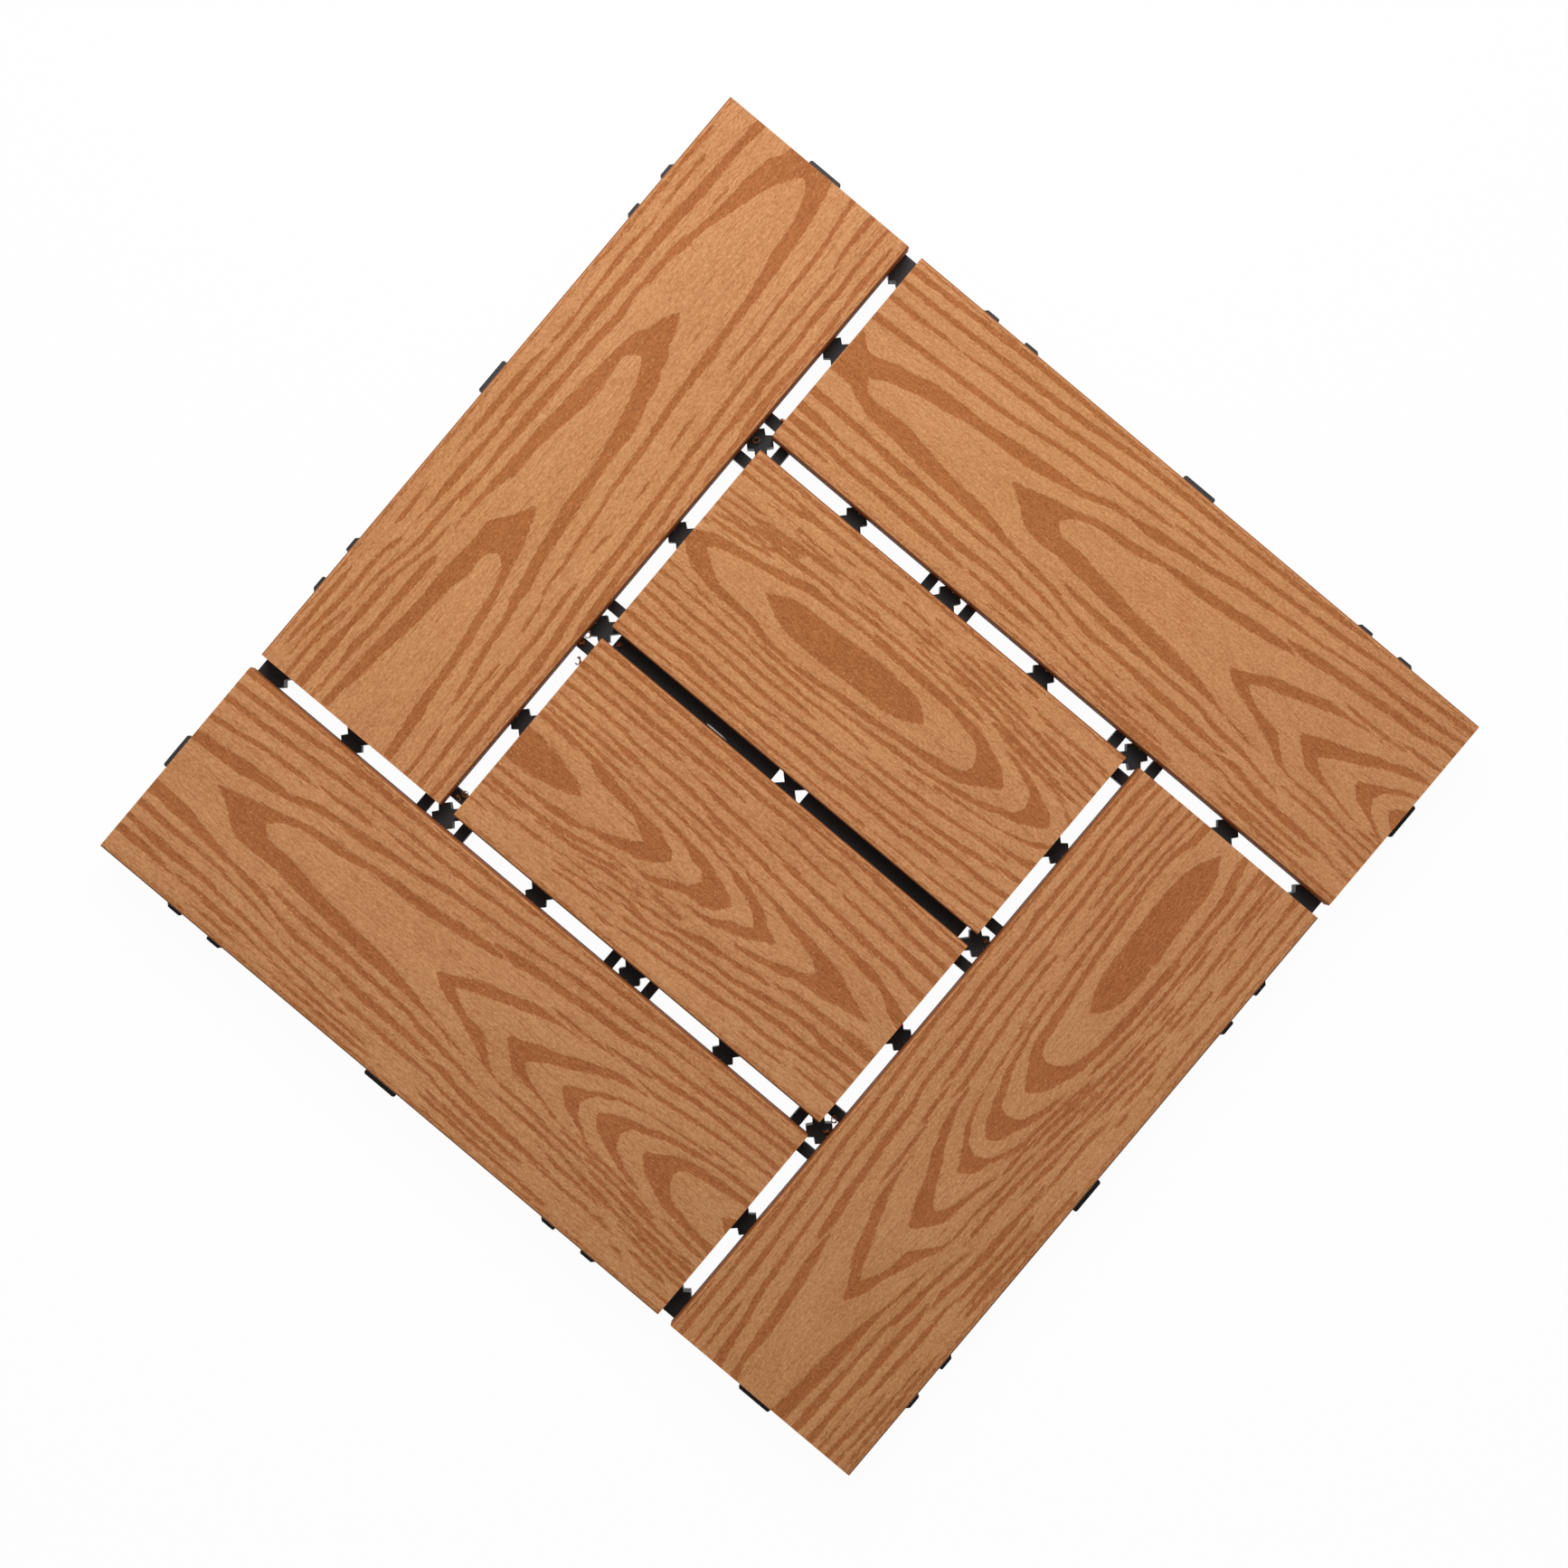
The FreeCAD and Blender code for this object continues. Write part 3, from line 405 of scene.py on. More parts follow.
KNOT_BANDS = [
    [(468, 51), (500, 28, 68), (550, 15, 88), (600, 1, 99), (650, -4, 106), (680, -10, 107), (740, -12, 108)],
    [(400, 124), (430, 119, 140), (480, 122, 148), (520, 130, 153), (570, 135, 148), (740, 141, 153)],
    [(220, 133), (300, 133, 144), (370, 147, 163), (450, 160, 181), (520, 174, 188), (600, 178, 194),
     (740, 178, 194)],
    [(120, 144), (200, 146, 154), (260, 152, 162), (300, 160, 170), (350, 168, 186), (400, 178, 190),
     (530, 200)],
    [(40, 122), (100, 125, 131), (130, 128)],
    [(-10, 140, 150), (80, 141, 150), (120, 147)],
    [(110, 165), (140, 162, 170), (180, 165)],
    [(140, 178), (240, 170, 181), (300, 178, 192), (360, 200)],
    [(-20, 168, 180), (80, 178, 190), (160, 196)],
    [(-20, 200, 211), (60, 218), (160, 202, 212), (260, 218)],
    [(0, 218), (100, 217, 228), (170, 227)],
    [(280, 220), (340, 218, 226), (410, 222)],
    [(160, 233), (220, 230, 236), (270, 234)],
    [(220, 238), (300, 239, 248), (340, 248, 254), (410, 256)],
    [(400, 231), (500, 231, 239), (540, 233, 245), (580, 236)],
    [(-20, 230, 242), (50, 242, 254), (100, 250, 260), (150, 252)],
    [(170, 260), (250, 261, 270), (310, 269, 278), (390, 278)],
    [(140, 298), (180, 295, 302), (230, 296)],
    [(580, 246), (660, 243, 251), (740, 248)],
    [(660, 272), (700, 267, 275), (740, 272)],
    [(560, 204), (660, 204, 212), (740, 206, 214)],
    [(-740, -69, -22), (-680, -84, -42), (-630, -99, -72), (-600, -110, -83), (-520, -122, -89),
     (-450, -122, -102), (-350, -129, -109), (-250, -139, -119), (-150, -146, -132), (-50, -159, -142),
     (100, -166, -155), (200, -180, -166), (300, -186, -169), (450, -183, -170), (500, -192, -179),
     (600, -194, -182), (740, -192, -182)],
    [(-740, -154, -132), (-650, -164, -142), (-600, -172, -152), (-500, -174, -152), (-400, -182, -162),
     (-300, -187, -172), (-200, -190, -177), (-130, -186)],
    [(-740, -227, -199), (-650, -229, -199), (-600, -229, -207), (-500, -229, -212), (-400, -234, -222),
     (-330, -232)],
    [(-740, -269, -252), (-620, -272, -257), (-550, -277, -262), (-480, -289, -274), (-360, -292, -277),
     (-280, -300, -289), (-200, -297, -287), (-100, -306, -292), (0, -304, -289), (150, -308, -289),
     (450, -310, -292), (740, -312, -297)],
    [(-740, -322, -297), (-600, -325, -302), (-500, -335, -312), (-400, -342, -322), (-300, -342, -329),
     (-200, -338, -325), (-100, -339, -328), (0, -344, -326), (200, -345, -335), (400, -347, -337),
     (740, -346, -336)],
    [(-740, -354, -342), (-580, -348)],
    [(-310, -240), (-250, -246, -232), (-150, -254, -242), (-40, -256)],
    [(-200, -197), (-100, -202, -194), (0, -211, -199), (100, -217, -198), (200, -223, -210), (280, -222)],
    [(70, -257), (150, -267, -254), (220, -268, -250), (350, -267, -255), (450, -270, -249),
     (600, -271, -257), (740, -272, -247)],
    [(290, -229), (360, -234, -222), (500, -234, -224), (740, -234, -224)],
    [(400, -112), (500, -122, -105), (600, -122, -107), (740, -114, -108)],
    [(0, -142), (60, -149, -141), (140, -148)],
    [(-740, 78, 113), (-640, 74, 111), (-600, 83, 106), (-500, 86, 108), (-420, 91, 108), (-380, 106, 115),
     (-340, 114)],
    [(-740, 141, 158), (-650, 136, 165), (-600, 138, 168), (-520, 133, 155), (-450, 138, 158),
     (-400, 148, 168), (-320, 160, 181), (-250, 176, 191), (-150, 183, 198), (0, 198, 210)],
    [(-350, 125), (-300, 120, 138), (-250, 128, 146), (-200, 140, 150), (-120, 140, 166), (-50, 158, 175),
     (30, 184)],
    [(-740, 180, 198), (-600, 183, 196), (-550, 188, 206), (-450, 185, 208), (-380, 195, 213),
     (-300, 204, 218), (-200, 213, 226), (-100, 225, 235), (0, 233, 246)],
    [(-740, 216, 221), (-600, 225, 231), (-520, 230, 238), (-500, 236, 254), (-420, 242, 258),
     (-330, 241, 258), (-280, 248, 264), (-200, 252, 270), (-100, 265, 278), (0, 274, 286), (100, 281, 288),
     (130, 290)],
    [(-740, 258, 275), (-620, 260, 275), (-560, 268)],
    [(-540, 282), (-450, 286, 293), (-300, 296)],
]
FIGURES = {
    "roll": (ROLL_ARCHES, ROLL_BANDS),
    "peaks": (PEAK_ARCHES, PEAK_BANDS),
    "knot": (KNOT_ARCHES, KNOT_BANDS),
}


def full(station):
    """The station with the value that stands for two edges written twice."""
    half = len(station) // 2
    return station if len(station) % 2 else station[: half + 1] + station[half:]


def smooth_curve(stations, column, x):
    """One column of the stations at x, on a curve with no overshoot."""
    table = np.array([full(s) for s in stations]).T / TENTHS
    xs = table[0]
    ys = table[column]
    steps = np.diff(xs)
    slopes = np.diff(ys) / steps
    tangents = np.zeros_like(xs)
    if len(xs) > 2:
        product = slopes[1:] * slopes[:-1]
        mean = (slopes[1:] + slopes[:-1]) / 2
        limit = 3 * np.minimum(abs(slopes[1:]), abs(slopes[:-1]))
        tangents[1:-1] = np.where(product > 0, np.sign(mean) * np.minimum(abs(mean), limit), 0)
    tangents[0] = slopes[0]
    tangents[-1] = slopes[-1]
    at = np.clip(x, xs[0], xs[-1])
    left = np.clip(np.searchsorted(xs, at, side="right") - 1, 0, len(xs) - 2)
    h = steps[left]
    t = (at - xs[left]) / h
    return (
        ys[left] * (1 + 2 * t) * (1 - t) ** 2
        + tangents[left] * h * t * (1 - t) ** 2
        + ys[left + 1] * t * t * (3 - 2 * t)
        + tangents[left + 1] * h * t * t * (t - 1)
    )


def from_ends(stations, x):
    """How far each point lies inside the first and the last station, in mm."""
    return np.minimum(x - stations[0][0] / TENTHS, stations[-1][0] / TENTHS - x)


def band_depth(stations, x, y):
    """How far each point lies inside a band, in mm; negative outside it."""
    lower = smooth_curve(stations, 1, x)
    upper = smooth_curve(stations, 2, x)
    # thin bands are spread a little, so that the ragged edge doesn't break them up
    spread = THIN_SPREAD * np.clip(THIN_BAND - (upper - lower), 0, 1)
    return np.minimum(np.minimum(y - lower, upper - y) + spread, from_ends(stations, x))


def arch_depth(stations, x, y):
    """How far each point lies inside an arch with two arms and a tip, in mm."""
    upper_out, upper_in, lower_in, lower_out = [smooth_curve(stations, c, x) for c in (1, 2, 3, 4)]
    whole = np.minimum(upper_out - y, y - lower_out)
    hollow = np.minimum(upper_in - y, y - lower_in)
    return np.minimum(np.minimum(whole, -hollow), from_ends(stations, x))


def grain_depth(name, x, y):
    """Signed depth inside the dark figure, mm, at points of a board."""
    pattern, shift, way, lift = BOARDS[name][3:]
    along = way * x + shift
    across = way * y + lift
    depth = np.full(x.shape, -DEPTH_LIMIT)
    arches, bands = FIGURES[pattern]
    for stations in arches:
        depth = np.maximum(depth, arch_depth(stations, along, across))
    for stations in bands:
        depth = np.maximum(depth, band_depth(stations, along, across))
    # thin broken dark line drawn into the grain along the two long edges, a little in from each
    rim = RIM_LINE_HALF - abs(BOARD_WIDTH / 2 - abs(y) - RIM_LINE_INSET)
    return np.clip(np.maximum(depth, rim), -DEPTH_LIMIT, DEPTH_LIMIT)


# Materials
def srgb(red, green, blue):
    """A colour written in 0 to 255 sRGB as a linear colour with alpha."""
    values = []
    for value in (red, green, blue):
        part = value / 255
        values.append(part / 12.92 if part <= 0.04045 else ((part + 0.055) / 1.055) ** 2.4)
    return (*values, 1.0)


class Nodes:
    """A new material, with short calls for its nodes."""

    def __init__(self, name, kind="BsdfPrincipled"):
        self.material = bpy.data.materials.new(name)
        self.material.use_nodes = True
        self.tree = self.material.node_tree
        self.tree.nodes.clear()
        self.shader = self.node(kind)
        self.link(self.shader.outputs[0], self.node("OutputMaterial").inputs[0])

    def node(self, kind):
        return self.tree.nodes.new("ShaderNode" + kind)

    def link(self, value, socket):
        if hasattr(value, "node"):
            self.tree.links.new(value, socket)
        else:
            socket.default_value = value

    def give(self, **values):
        """Values or links for inputs of the shader, an underscore for each space."""
        for name, value in values.items():
            self.link(value, self.shader.inputs[name.replace("_", " ")])

    def math(self, operation, a, b=0.0, c=0.0):
        node = self.node("Math")
        node.operation = operation
        for value, socket in zip((a, b, c), node.inputs):
            self.link(value, socket)
        return node.outputs[0]

    def noise(self, scale, detail=2, roughness=0.5, shift=0.0):
        """Noise in object coordinates, with a scale for each axis, per millimetre."""
        place = self.node("VectorMath")
        place.operation = "MULTIPLY"
        self.link(self.node("TexCoord").outputs["Object"], place.inputs[0])
        place.inputs[1].default_value = [s / MM for s in scale]
        node = self.node("TexNoise")
        node.noise_dimensions = "4D"
        self.link(place.outputs[0], node.inputs["Vector"])
        for name, value in (("W", shift), ("Scale", 1.0), ("Detail", detail), ("Roughness", roughness)):
            node.inputs[name].default_value = value
        return node.outputs["Fac"]

    def remap(self, value, low, high, to_low=0.0, to_high=1.0, smooth=False):
        node = self.node("MapRange")
        node.interpolation_type = "SMOOTHSTEP" if smooth else "LINEAR"
        for number, item in enumerate((value, low, high, to_low, to_high)):
            self.link(item, node.inputs[number])
        return node.outputs[0]

    def sway(self, noise, reach, value):
        """The value plus a noise centred on zero, times its reach."""
        return self.math("MULTIPLY_ADD", self.math("SUBTRACT", noise, 0.5), reach, value)

    def mix(self, factor, a, b):
        node = self.node("Mix")
        node.data_type = "RGBA"
        self.link(factor, node.inputs["Factor"])
        self.link(a, node.inputs[6])
        self.link(b, node.inputs[7])
        return node.outputs[2]

    def blend(self, factor, pair):
        return self.mix(factor, srgb(*pair[0]), srgb(*pair[1]))

    def bump(self, height, distance, strength, normal=None):
        """A bumped normal, its distance in mm."""
        node = self.node("Bump")
        node.inputs["Strength"].default_value = strength
        node.inputs["Distance"].default_value = distance * MM
        self.link(height, node.inputs["Height"])
        if normal is not None:
            self.link(normal, node.inputs["Normal"])
        return node.outputs[0]

    def attribute(self, name):
        node = self.node("Attribute")
        node.attribute_name = name
        return node.outputs["Fac"]


def board_material(name, seed):
    n = Nodes("wood_composite_" + name)
    side = n.attribute("side")
    ragged = n.noise(RAGGED_SCALE, detail=4, roughness=0.72, shift=seed)
    wander = n.noise(WANDER_SCALE, shift=seed + 7)
    edge = n.sway(wander, WANDER_REACH, n.sway(ragged, RAGGED_REACH, n.attribute("grain_depth")))
    dark = n.remap(edge, *EDGE_SPAN, smooth=True)
    fibre = n.noise(FIBRE_SCALE, detail=4, roughness=0.75, shift=seed + 3)
    cloud = n.noise(CLOUD_SCALE, shift=seed + 5)
    speck = n.noise(SPECK_SCALE, shift=seed + 13)
    fibre_tone = n.remap(fibre, *FIBRE_SPAN, -FIBRE_TONE, FIBRE_TONE)
    cloud_tone = n.remap(cloud, *NOISE_SPAN, -CLOUD_TONE, CLOUD_TONE)
    speck_tone = n.remap(speck, *SPECK_SPAN, -SPECK_TONE, SPECK_TONE)
    share = n.remap(n.math("ADD", n.math("ADD", fibre_tone, cloud_tone), speck_tone), *TONE_SPAN)
    # thin dark streaks in the light wood
    streak = n.noise(STREAK_SCALE, detail=4, roughness=0.62, shift=seed + 9)
    streaks = n.remap(streak, *STREAK_SPAN, 0, STREAK_SHARE, smooth=True)
    colour = n.mix(n.math("MAXIMUM", dark, streaks), n.blend(share, LIGHT_WOOD), n.blend(share, DARK_WOOD))
    # pale flecks of wood flour, more of them in the dark figure
    fleck = n.noise(FLECK_SCALE, detail=1, shift=seed + 11)
    fleck = n.math("MULTIPLY_ADD", dark, FLECK_IN_DARK, fleck)
    colour = n.mix(n.remap(fleck, *FLECK_SPAN, 0, FLECK_SHARE), colour, srgb(*WOOD_FLECK))
    # long sides as they come from the die, smoother, and darker: partly their own colour, partly painted
    # shade of the sides in the gaps; cut ends rough
    lines = n.noise(SIDE_LINE_SCALE, shift=seed + 15)
    grit = n.noise(GRIT_SCALE, detail=3, shift=seed + 17)
    colour = n.mix(n.remap(side, *END_SPAN), colour, n.blend(n.remap(grit, *NOISE_SPAN), END_WOOD))
    colour = n.mix(n.remap(side, *SIDE_SPAN), colour, n.blend(n.remap(lines, *NOISE_SPAN), SIDE_WOOD_AND_SHADE))
    height = n.math("MULTIPLY_ADD", fibre, FIBRE_HEIGHT, n.math("MULTIPLY", ragged, RAGGED_HEIGHT))
    height = n.math("MULTIPLY_ADD", grit, n.remap(side, *END_SPAN, 0, GRIT_HEIGHT), height)
    n.give(Base_Color=colour, Roughness=n.remap(dark, 0, 1, *WOOD_ROUGHNESS))
    n.give(Specular_IOR_Level=WOOD_SPECULAR, Normal=n.bump(height, *WOOD_BUMP))
    return n.material


def plastic_material():
    n = Nodes("moulded_plastic")
    grain = n.noise(PLASTIC_GRAIN_SCALE)
    cloud = n.noise(PLASTIC_CLOUD_SCALE, detail=3, shift=4.0)
    # softened edges
    bevel = n.node("Bevel")
    bevel.inputs["Radius"].default_value = PLASTIC_BEVEL * MM
    bevel.samples = BEVEL_SAMPLES
    colour = n.blend(n.remap(cloud, *PATCH_SPAN), PLASTIC)
    n.give(Base_Color=colour, Roughness=n.remap(cloud, *NOISE_SPAN, *PLASTIC_ROUGHNESS))
    n.give(Specular_IOR_Level=PLASTIC_SPECULAR, Normal=n.bump(grain, *PLASTIC_BUMP, bevel.outputs[0]))
    return n.material


def steel_material():
    n = Nodes("zinc_plated_steel")
    cloud = n.noise(STEEL_CLOUD_SCALE, detail=3)
    scratches = n.noise(SCRATCH_SCALE, shift=2.0)
    colour = n.blend(n.remap(cloud, *PATCH_SPAN), STEEL)
    n.give(Base_Color=colour, Metallic=1.0, Roughness=n.remap(scratches, *NOISE_SPAN, *STEEL_ROUGHNESS))
    return n.material


def swarf_and_glint_material(name, pair):
    n = Nodes(name)
    cloud = n.noise(SWARF_SCALE)
    n.give(Base_Color=n.blend(n.remap(cloud, *PATCH_SPAN), pair), Roughness=SWARF_ROUGHNESS)
    return n.material


# Meshes and objects
def add_object(name, data):
    item = bpy.data.objects.new(name, data)
    scene.collection.objects.link(item)
    return item


def to_mesh(name, work, outward=True):
    """The work as a new mesh, with its faces turned outward first unless told not to."""
    if outward:
        bmesh.ops.recalc_face_normals(work, faces=work.faces)
    mesh = bpy.data.meshes.new(name)
    work.to_mesh(mesh)
    work.free()
    return mesh


def quarter_turn(turns):
    return Matrix.Rotation(math.radians(90 * turns), 4, "Z")


def corners(x_start, x_end, y_start, y_end):
    """The four corners of a rectangle in turn."""
    return (x_start, y_start), (x_end, y_start), (x_end, y_end), (x_start, y_end)


def add_rings(work, rings):
    """Rings of points joined into a skin, its two ends closed."""
    rows = [[work.verts.new([v * MM for v in point]) for point in ring] for ring in rings]
    count = len(rows[0])
    for lower, upper in zip(rows, rows[1:]):
        for k in range(count):
            after = (k + 1) % count
            work.faces.new((lower[k], lower[after], upper[after], upper[k]))
    work.faces.new(list(reversed(rows[0])))
    work.faces.new(rows[-1])


# Boards
def board_outline():
    """Cross-section of a board, as points (Y from its middle, Z)."""
    half = BOARD_WIDTH / 2
    flat = half - EDGE_RADIUS
    centre = BOARD_TOP - EDGE_RADIUS
    rows = int(round(2 * flat / GRID_STEP))
    arc = [math.radians(angle) for angle in EDGE_ANGLES]
    bend = [(flat + EDGE_RADIUS * math.cos(a), centre + EDGE_RADIUS * math.sin(a)) for a in arc]
    sides = np.linspace(BOARD_BOTTOM + LOWER_BREAK, centre, SIDE_POINTS)[:-1]
    under = [half - LOWER_BREAK, *np.linspace(half - UNDER_INSET, UNDER_INSET - half, UNDER_POINTS)]
    loop = [(y, BOARD_BOTTOM) for y in (*under, LOWER_BREAK - half)]
    loop += [(-half, z) for z in sides] + [(-y, z) for y, z in bend]
    loop += [(y, BOARD_TOP) for y in np.linspace(-flat, flat, rows + 1)]
    return loop + bend[::-1] + [(half, z) for z in reversed(sides)]


def board_mesh(name, span, middle):
    """A plank with rounded upper edges, a fine top grid and the grain pressed into it."""
    x_start, x_end = span
    half = BOARD_WIDTH / 2
    columns = int(round((x_end - x_start) / GRID_STEP))
    xs = np.linspace(x_start, x_end, columns + 1)
    ys, zs = np.array(board_outline()).T
    count = len(ys)
    x_grid, y_grid = np.meshgrid(xs, ys, indexing="ij")
    z_grid = np.tile(zs, (len(xs), 1))
    depth = grain_depth(name, x_grid, y_grid)
    on_top = z_grid > BOARD_TOP - TOP_TOLERANCE
    pressed = np.clip(0.5 + depth / PRESS_SLOPE, 0, 1) * PRESS_DEPTH
    inward = np.minimum(half - abs(y_grid), np.minimum(x_grid - x_start, x_end - x_grid))
    # rounded edges and sides are marked for the darker side colour, which is partly painted shade
    side = np.where(z_grid < BOARD_TOP - SIDE_DROP, SIDE_MARK, 0.0)
    z_grid = z_grid - np.where(on_top, pressed * np.clip(inward / PRESS_MARGIN, 0, 1), 0)
    # the inner boards stop a little short along the middle gap, as the photo shows
    if name.startswith("inner"):
        y_grid = y_grid + EDGE_TRIM * np.clip((TRIM_REACH - half - y_grid) / TRIM_REACH, 0, 1)
    grid = np.stack([x_grid, y_grid + middle, z_grid], axis=-1).reshape(-1, 3) * MM
    points = [tuple(v) for v in grid.tolist()]
    depths = depth.reshape(-1).tolist()
    sides = side.reshape(-1).tolist()
    faces = []
    for row in range(0, columns * count, count):
        for j in range(count):
            after = (j + 1) % count
            faces.append((row + j, row + count + j, row + count + after, row + after))
    # cut ends, with points of their own
    for first, step in ((0, 1), (columns * count, -1)):
        start = len(points)
        points += points[first : first + count]
        depths += [-DEPTH_LIMIT] * count
        sides += [END_MARK] * count
        faces.append(tuple(range(start, start + count))[::step])
    mesh = bpy.data.meshes.new(name + "_plank")
    mesh.from_pydata(points, [], faces)
    for label, values in (("grain_depth", depths), ("side", sides)):
        attribute = mesh.attributes.new(label, "FLOAT", "POINT")
        attribute.data.foreach_set("value", np.array(values, np.float32))
    mesh.update()
    work = bmesh.new()
    work.from_mesh(mesh)
    bmesh.ops.recalc_face_normals(work, faces=work.faces)
    work.to_mesh(mesh)
    work.free()
    for polygon in mesh.polygons:
        polygon.use_smooth = len(polygon.vertices) == 4
    return mesh


def build_boards():
    for number, (name, (turns, span, middle, *_)) in enumerate(BOARDS.items()):
        mesh = board_mesh(name, span, middle)
        board = add_object("plank_" + name, mesh)
        board.matrix_world = quarter_turn(turns)
        mesh.materials.append(board_material(name, number * SEED_STEP))
        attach(board, "root")
        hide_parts(name)


# Screws, mm
HEAD_RADIUS = 3.8
HEAD_BOTTOM = 2.6
HEAD_TOP = 5.0
HEAD_SIDES = 48
CROWN_RADIUS = 0.5
DOME_REACH = 1.5
DOME_START = 0.15
DOME_HEIGHT = 1.4
DOME_STEPS = 8
HEAD_CHAMFER = 0.25
THREAD_RADIUS = 2.0
CORE_RADIUS = 1.35
THREAD_PITCH = 1.5
THREAD_SIDES = 20
THREAD_ROWS = 72
# half the foot of the thread, as a share of its pitch
THREAD_FOOT = 0.24
THREAD_RUN_IN = 1.2
SHANK_OVERLAP = 0.05
POINT_LENGTH = 3.6
POINT_SHARE = 0.04
POINT_CREST = 1.6
SCREW_TIP = 18.5
RECESS_DEPTH = 1.5
# each end of the cross: height, reach and width of an arm
RECESS_ENDS = (
    (HEAD_BOTTOM - 0.4, 2.35, 1.05),
    (HEAD_BOTTOM + RECESS_DEPTH, 0.75, 0.6),
)
INNER_CELL = 37.8
OUTER_CELL = 112.3
SCREW_CELLS = ((INNER_CELL, INNER_CELL), (OUTER_CELL, OUTER_CELL), (-INNER_CELL, OUTER_CELL))
SHARP_ANGLE = math.radians(35)
SCREW_SEED = 7


def screw_head():
    """A pan head that points down, domed, with a tapered cross pressed into it."""
    work = bmesh.new()
    profile = [(CROWN_RADIUS, HEAD_BOTTOM)]
    for step in range(1, DOME_STEPS + 1):
        turn = math.radians(90 * step / DOME_STEPS)
        radius = HEAD_RADIUS - DOME_REACH + DOME_REACH * math.sin(turn)
        profile.append((radius, HEAD_BOTTOM + DOME_START + DOME_HEIGHT * (1 - math.cos(turn))))
    profile += [(HEAD_RADIUS, HEAD_TOP - HEAD_CHAMFER), (HEAD_RADIUS - HEAD_CHAMFER, HEAD_TOP)]
    angles = [2 * math.pi * k / HEAD_SIDES for k in range(HEAD_SIDES)]
    add_rings(work, [[(r * math.cos(a), r * math.sin(a), z) for a in angles] for r, z in profile])
    head = add_object("head", to_mesh("head", work, outward=False))
    work = bmesh.new()
    for turned in (False, True):
        ends = []
        for z, reach, width in RECESS_ENDS:
            section = corners(-reach, reach, -width / 2, width / 2)
            ends.append([(y, x, z) if turned else (x, y, z) for x, y in section])
        add_rings(work, ends)
    cutter = add_object("recess", to_mesh("recess", work))
    cut = head.modifiers.new("cross", "BOOLEAN")
    cut.object = cutter
    cut.operation = "DIFFERENCE"
    cut.use_self = True
    bpy.context.view_layer.update()
    result = bpy.data.meshes.new_from_object(head.evaluated_get(bpy.context.evaluated_depsgraph_get()))
    for item in (head, cutter):
        bpy.data.objects.remove(item)
    return result


def add_shank(work):
    """Threaded shank with a point, as rows of rings that follow the helix."""
    start = HEAD_TOP - SHANK_OVERLAP
    length = SCREW_TIP - HEAD_TOP + SHANK_OVERLAP
    rings = []
    for row in range(THREAD_ROWS + 1):
        z = start + length * row / THREAD_ROWS
        taper = min(1.0, (SCREW_TIP - z) / POINT_LENGTH)
        run_in = min(1.0, max(0.0, z - HEAD_TOP) / THREAD_RUN_IN)
        height = (THREAD_RADIUS - CORE_RADIUS) * min(1.0, taper * POINT_CREST)
        ring = []
        for k in range(THREAD_SIDES):
            share = ((z / THREAD_PITCH - k / THREAD_SIDES) % 1.0) - 0.5
            crest = max(0.0, 1 - abs(share) / THREAD_FOOT) * run_in
            radius = CORE_RADIUS * max(taper, POINT_SHARE) + height * crest
            angle = 2 * math.pi * k / THREAD_SIDES
            ring.append((radius * math.cos(angle), radius * math.sin(angle), z))
        rings.append(ring)
    add_rings(work, rings)


def build_screws():
    single = bmesh.new()
    single.from_mesh(screw_head())
    add_shank(single)
    one = to_mesh("screw", single)
    chance = random.Random(SCREW_SEED)
    work = bmesh.new()
    for quarter in range(4):
        for x, y in SCREW_CELLS:
            spot = quarter_turn(quarter) @ Matrix.Translation((x * MM, y * MM, 0))
            copy = one.copy()
            copy.transform(spot @ Matrix.Rotation(chance.uniform(0, math.pi), 4, "Z"))
            work.from_mesh(copy)
            bpy.data.meshes.remove(copy)
    mesh = to_mesh("screws", work, outward=False)
    for polygon in mesh.polygons:
        polygon.use_smooth = True
    mesh.set_sharp_from_angle(angle=SHARP_ANGLE)
    mesh.materials.append(steel_material())
    screws = add_object("screws", mesh)
    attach(screws, "root")
    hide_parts("board_screws")


# Swarf, mm and degrees: place, radius, turns, first angle, tilt
CURLS = (
    ((-76.7, 75.2, 10.9), 1.1, 1.4, 20, 20),
    ((-74.6, 85.6, 11.0), 0.9, 0.8, 200, 60),
    ((-75.3, -66.3, 11.2), 1.0, 1.3, 120, 30),
    ((-76.2, -69.2, 10.8), 0.9, 0.7, 300, 50),
    ((-77.9, -4.2, 11.0), 1.2, 1.2, 70, 25),
    ((-77.6, -7.6, 10.7), 1.0, 0.9, 160, 70),
    ((-75.3, -12.6, 10.9), 1.3, 0.8, 250, 55),
    ((-68.2, -0.3, 10.8), 0.8, 1.2, 10, 40),
    ((76.7, -70.0, 10.9), 1.1, 1.3, 80, 30),
    ((77.1, -74.1, 10.7), 0.9, 0.9, 190, 60),
    ((77.6, 2.3, 10.7), 0.7, 0.9, 45, 35),
)
SWARF_SEED = 11
CURL_STEPS = 26
CURL_AXIS_UP = 0.2
CURL_SHRINK = 0.35
CURL_RISE = 0.9
CURL_WIDTH = 0.5
CURL_HALF = 0.07
# how much the width and the radius of a curl sway, and how fast, in waves per turn
WIDTH_BASE = 0.8
WIDTH_SWAY = 0.3
WIDTH_WAVES = 3.3
RADIUS_SWAY = 0.12
RADIUS_WAVES = 1.7
# share of its width that a curl starts and ends with, and how fast it grows and shrinks
START_SHARE = 0.3
END_SHARE = 0.2
END_GROWTH = 4
# The near-white strip on the middle strip, a painted highlight for a thin glint along the edge of the middle
# gap: its ends, line and height, then share of its length and width
GLINT_STRIP_START = -32.0
GLINT_STRIP_END = -24.0
GLINT_STRIP_Y = -1.65
GLINT_STRIP_BOTTOM = 13.0
GLINT_STRIP_THICK = 0.15
GLINT_STRIP_WIDTHS = ((0, 0.12), (0.15, 0.5), (0.7, 0.42), (0.85, 0.2), (1, 0.08))


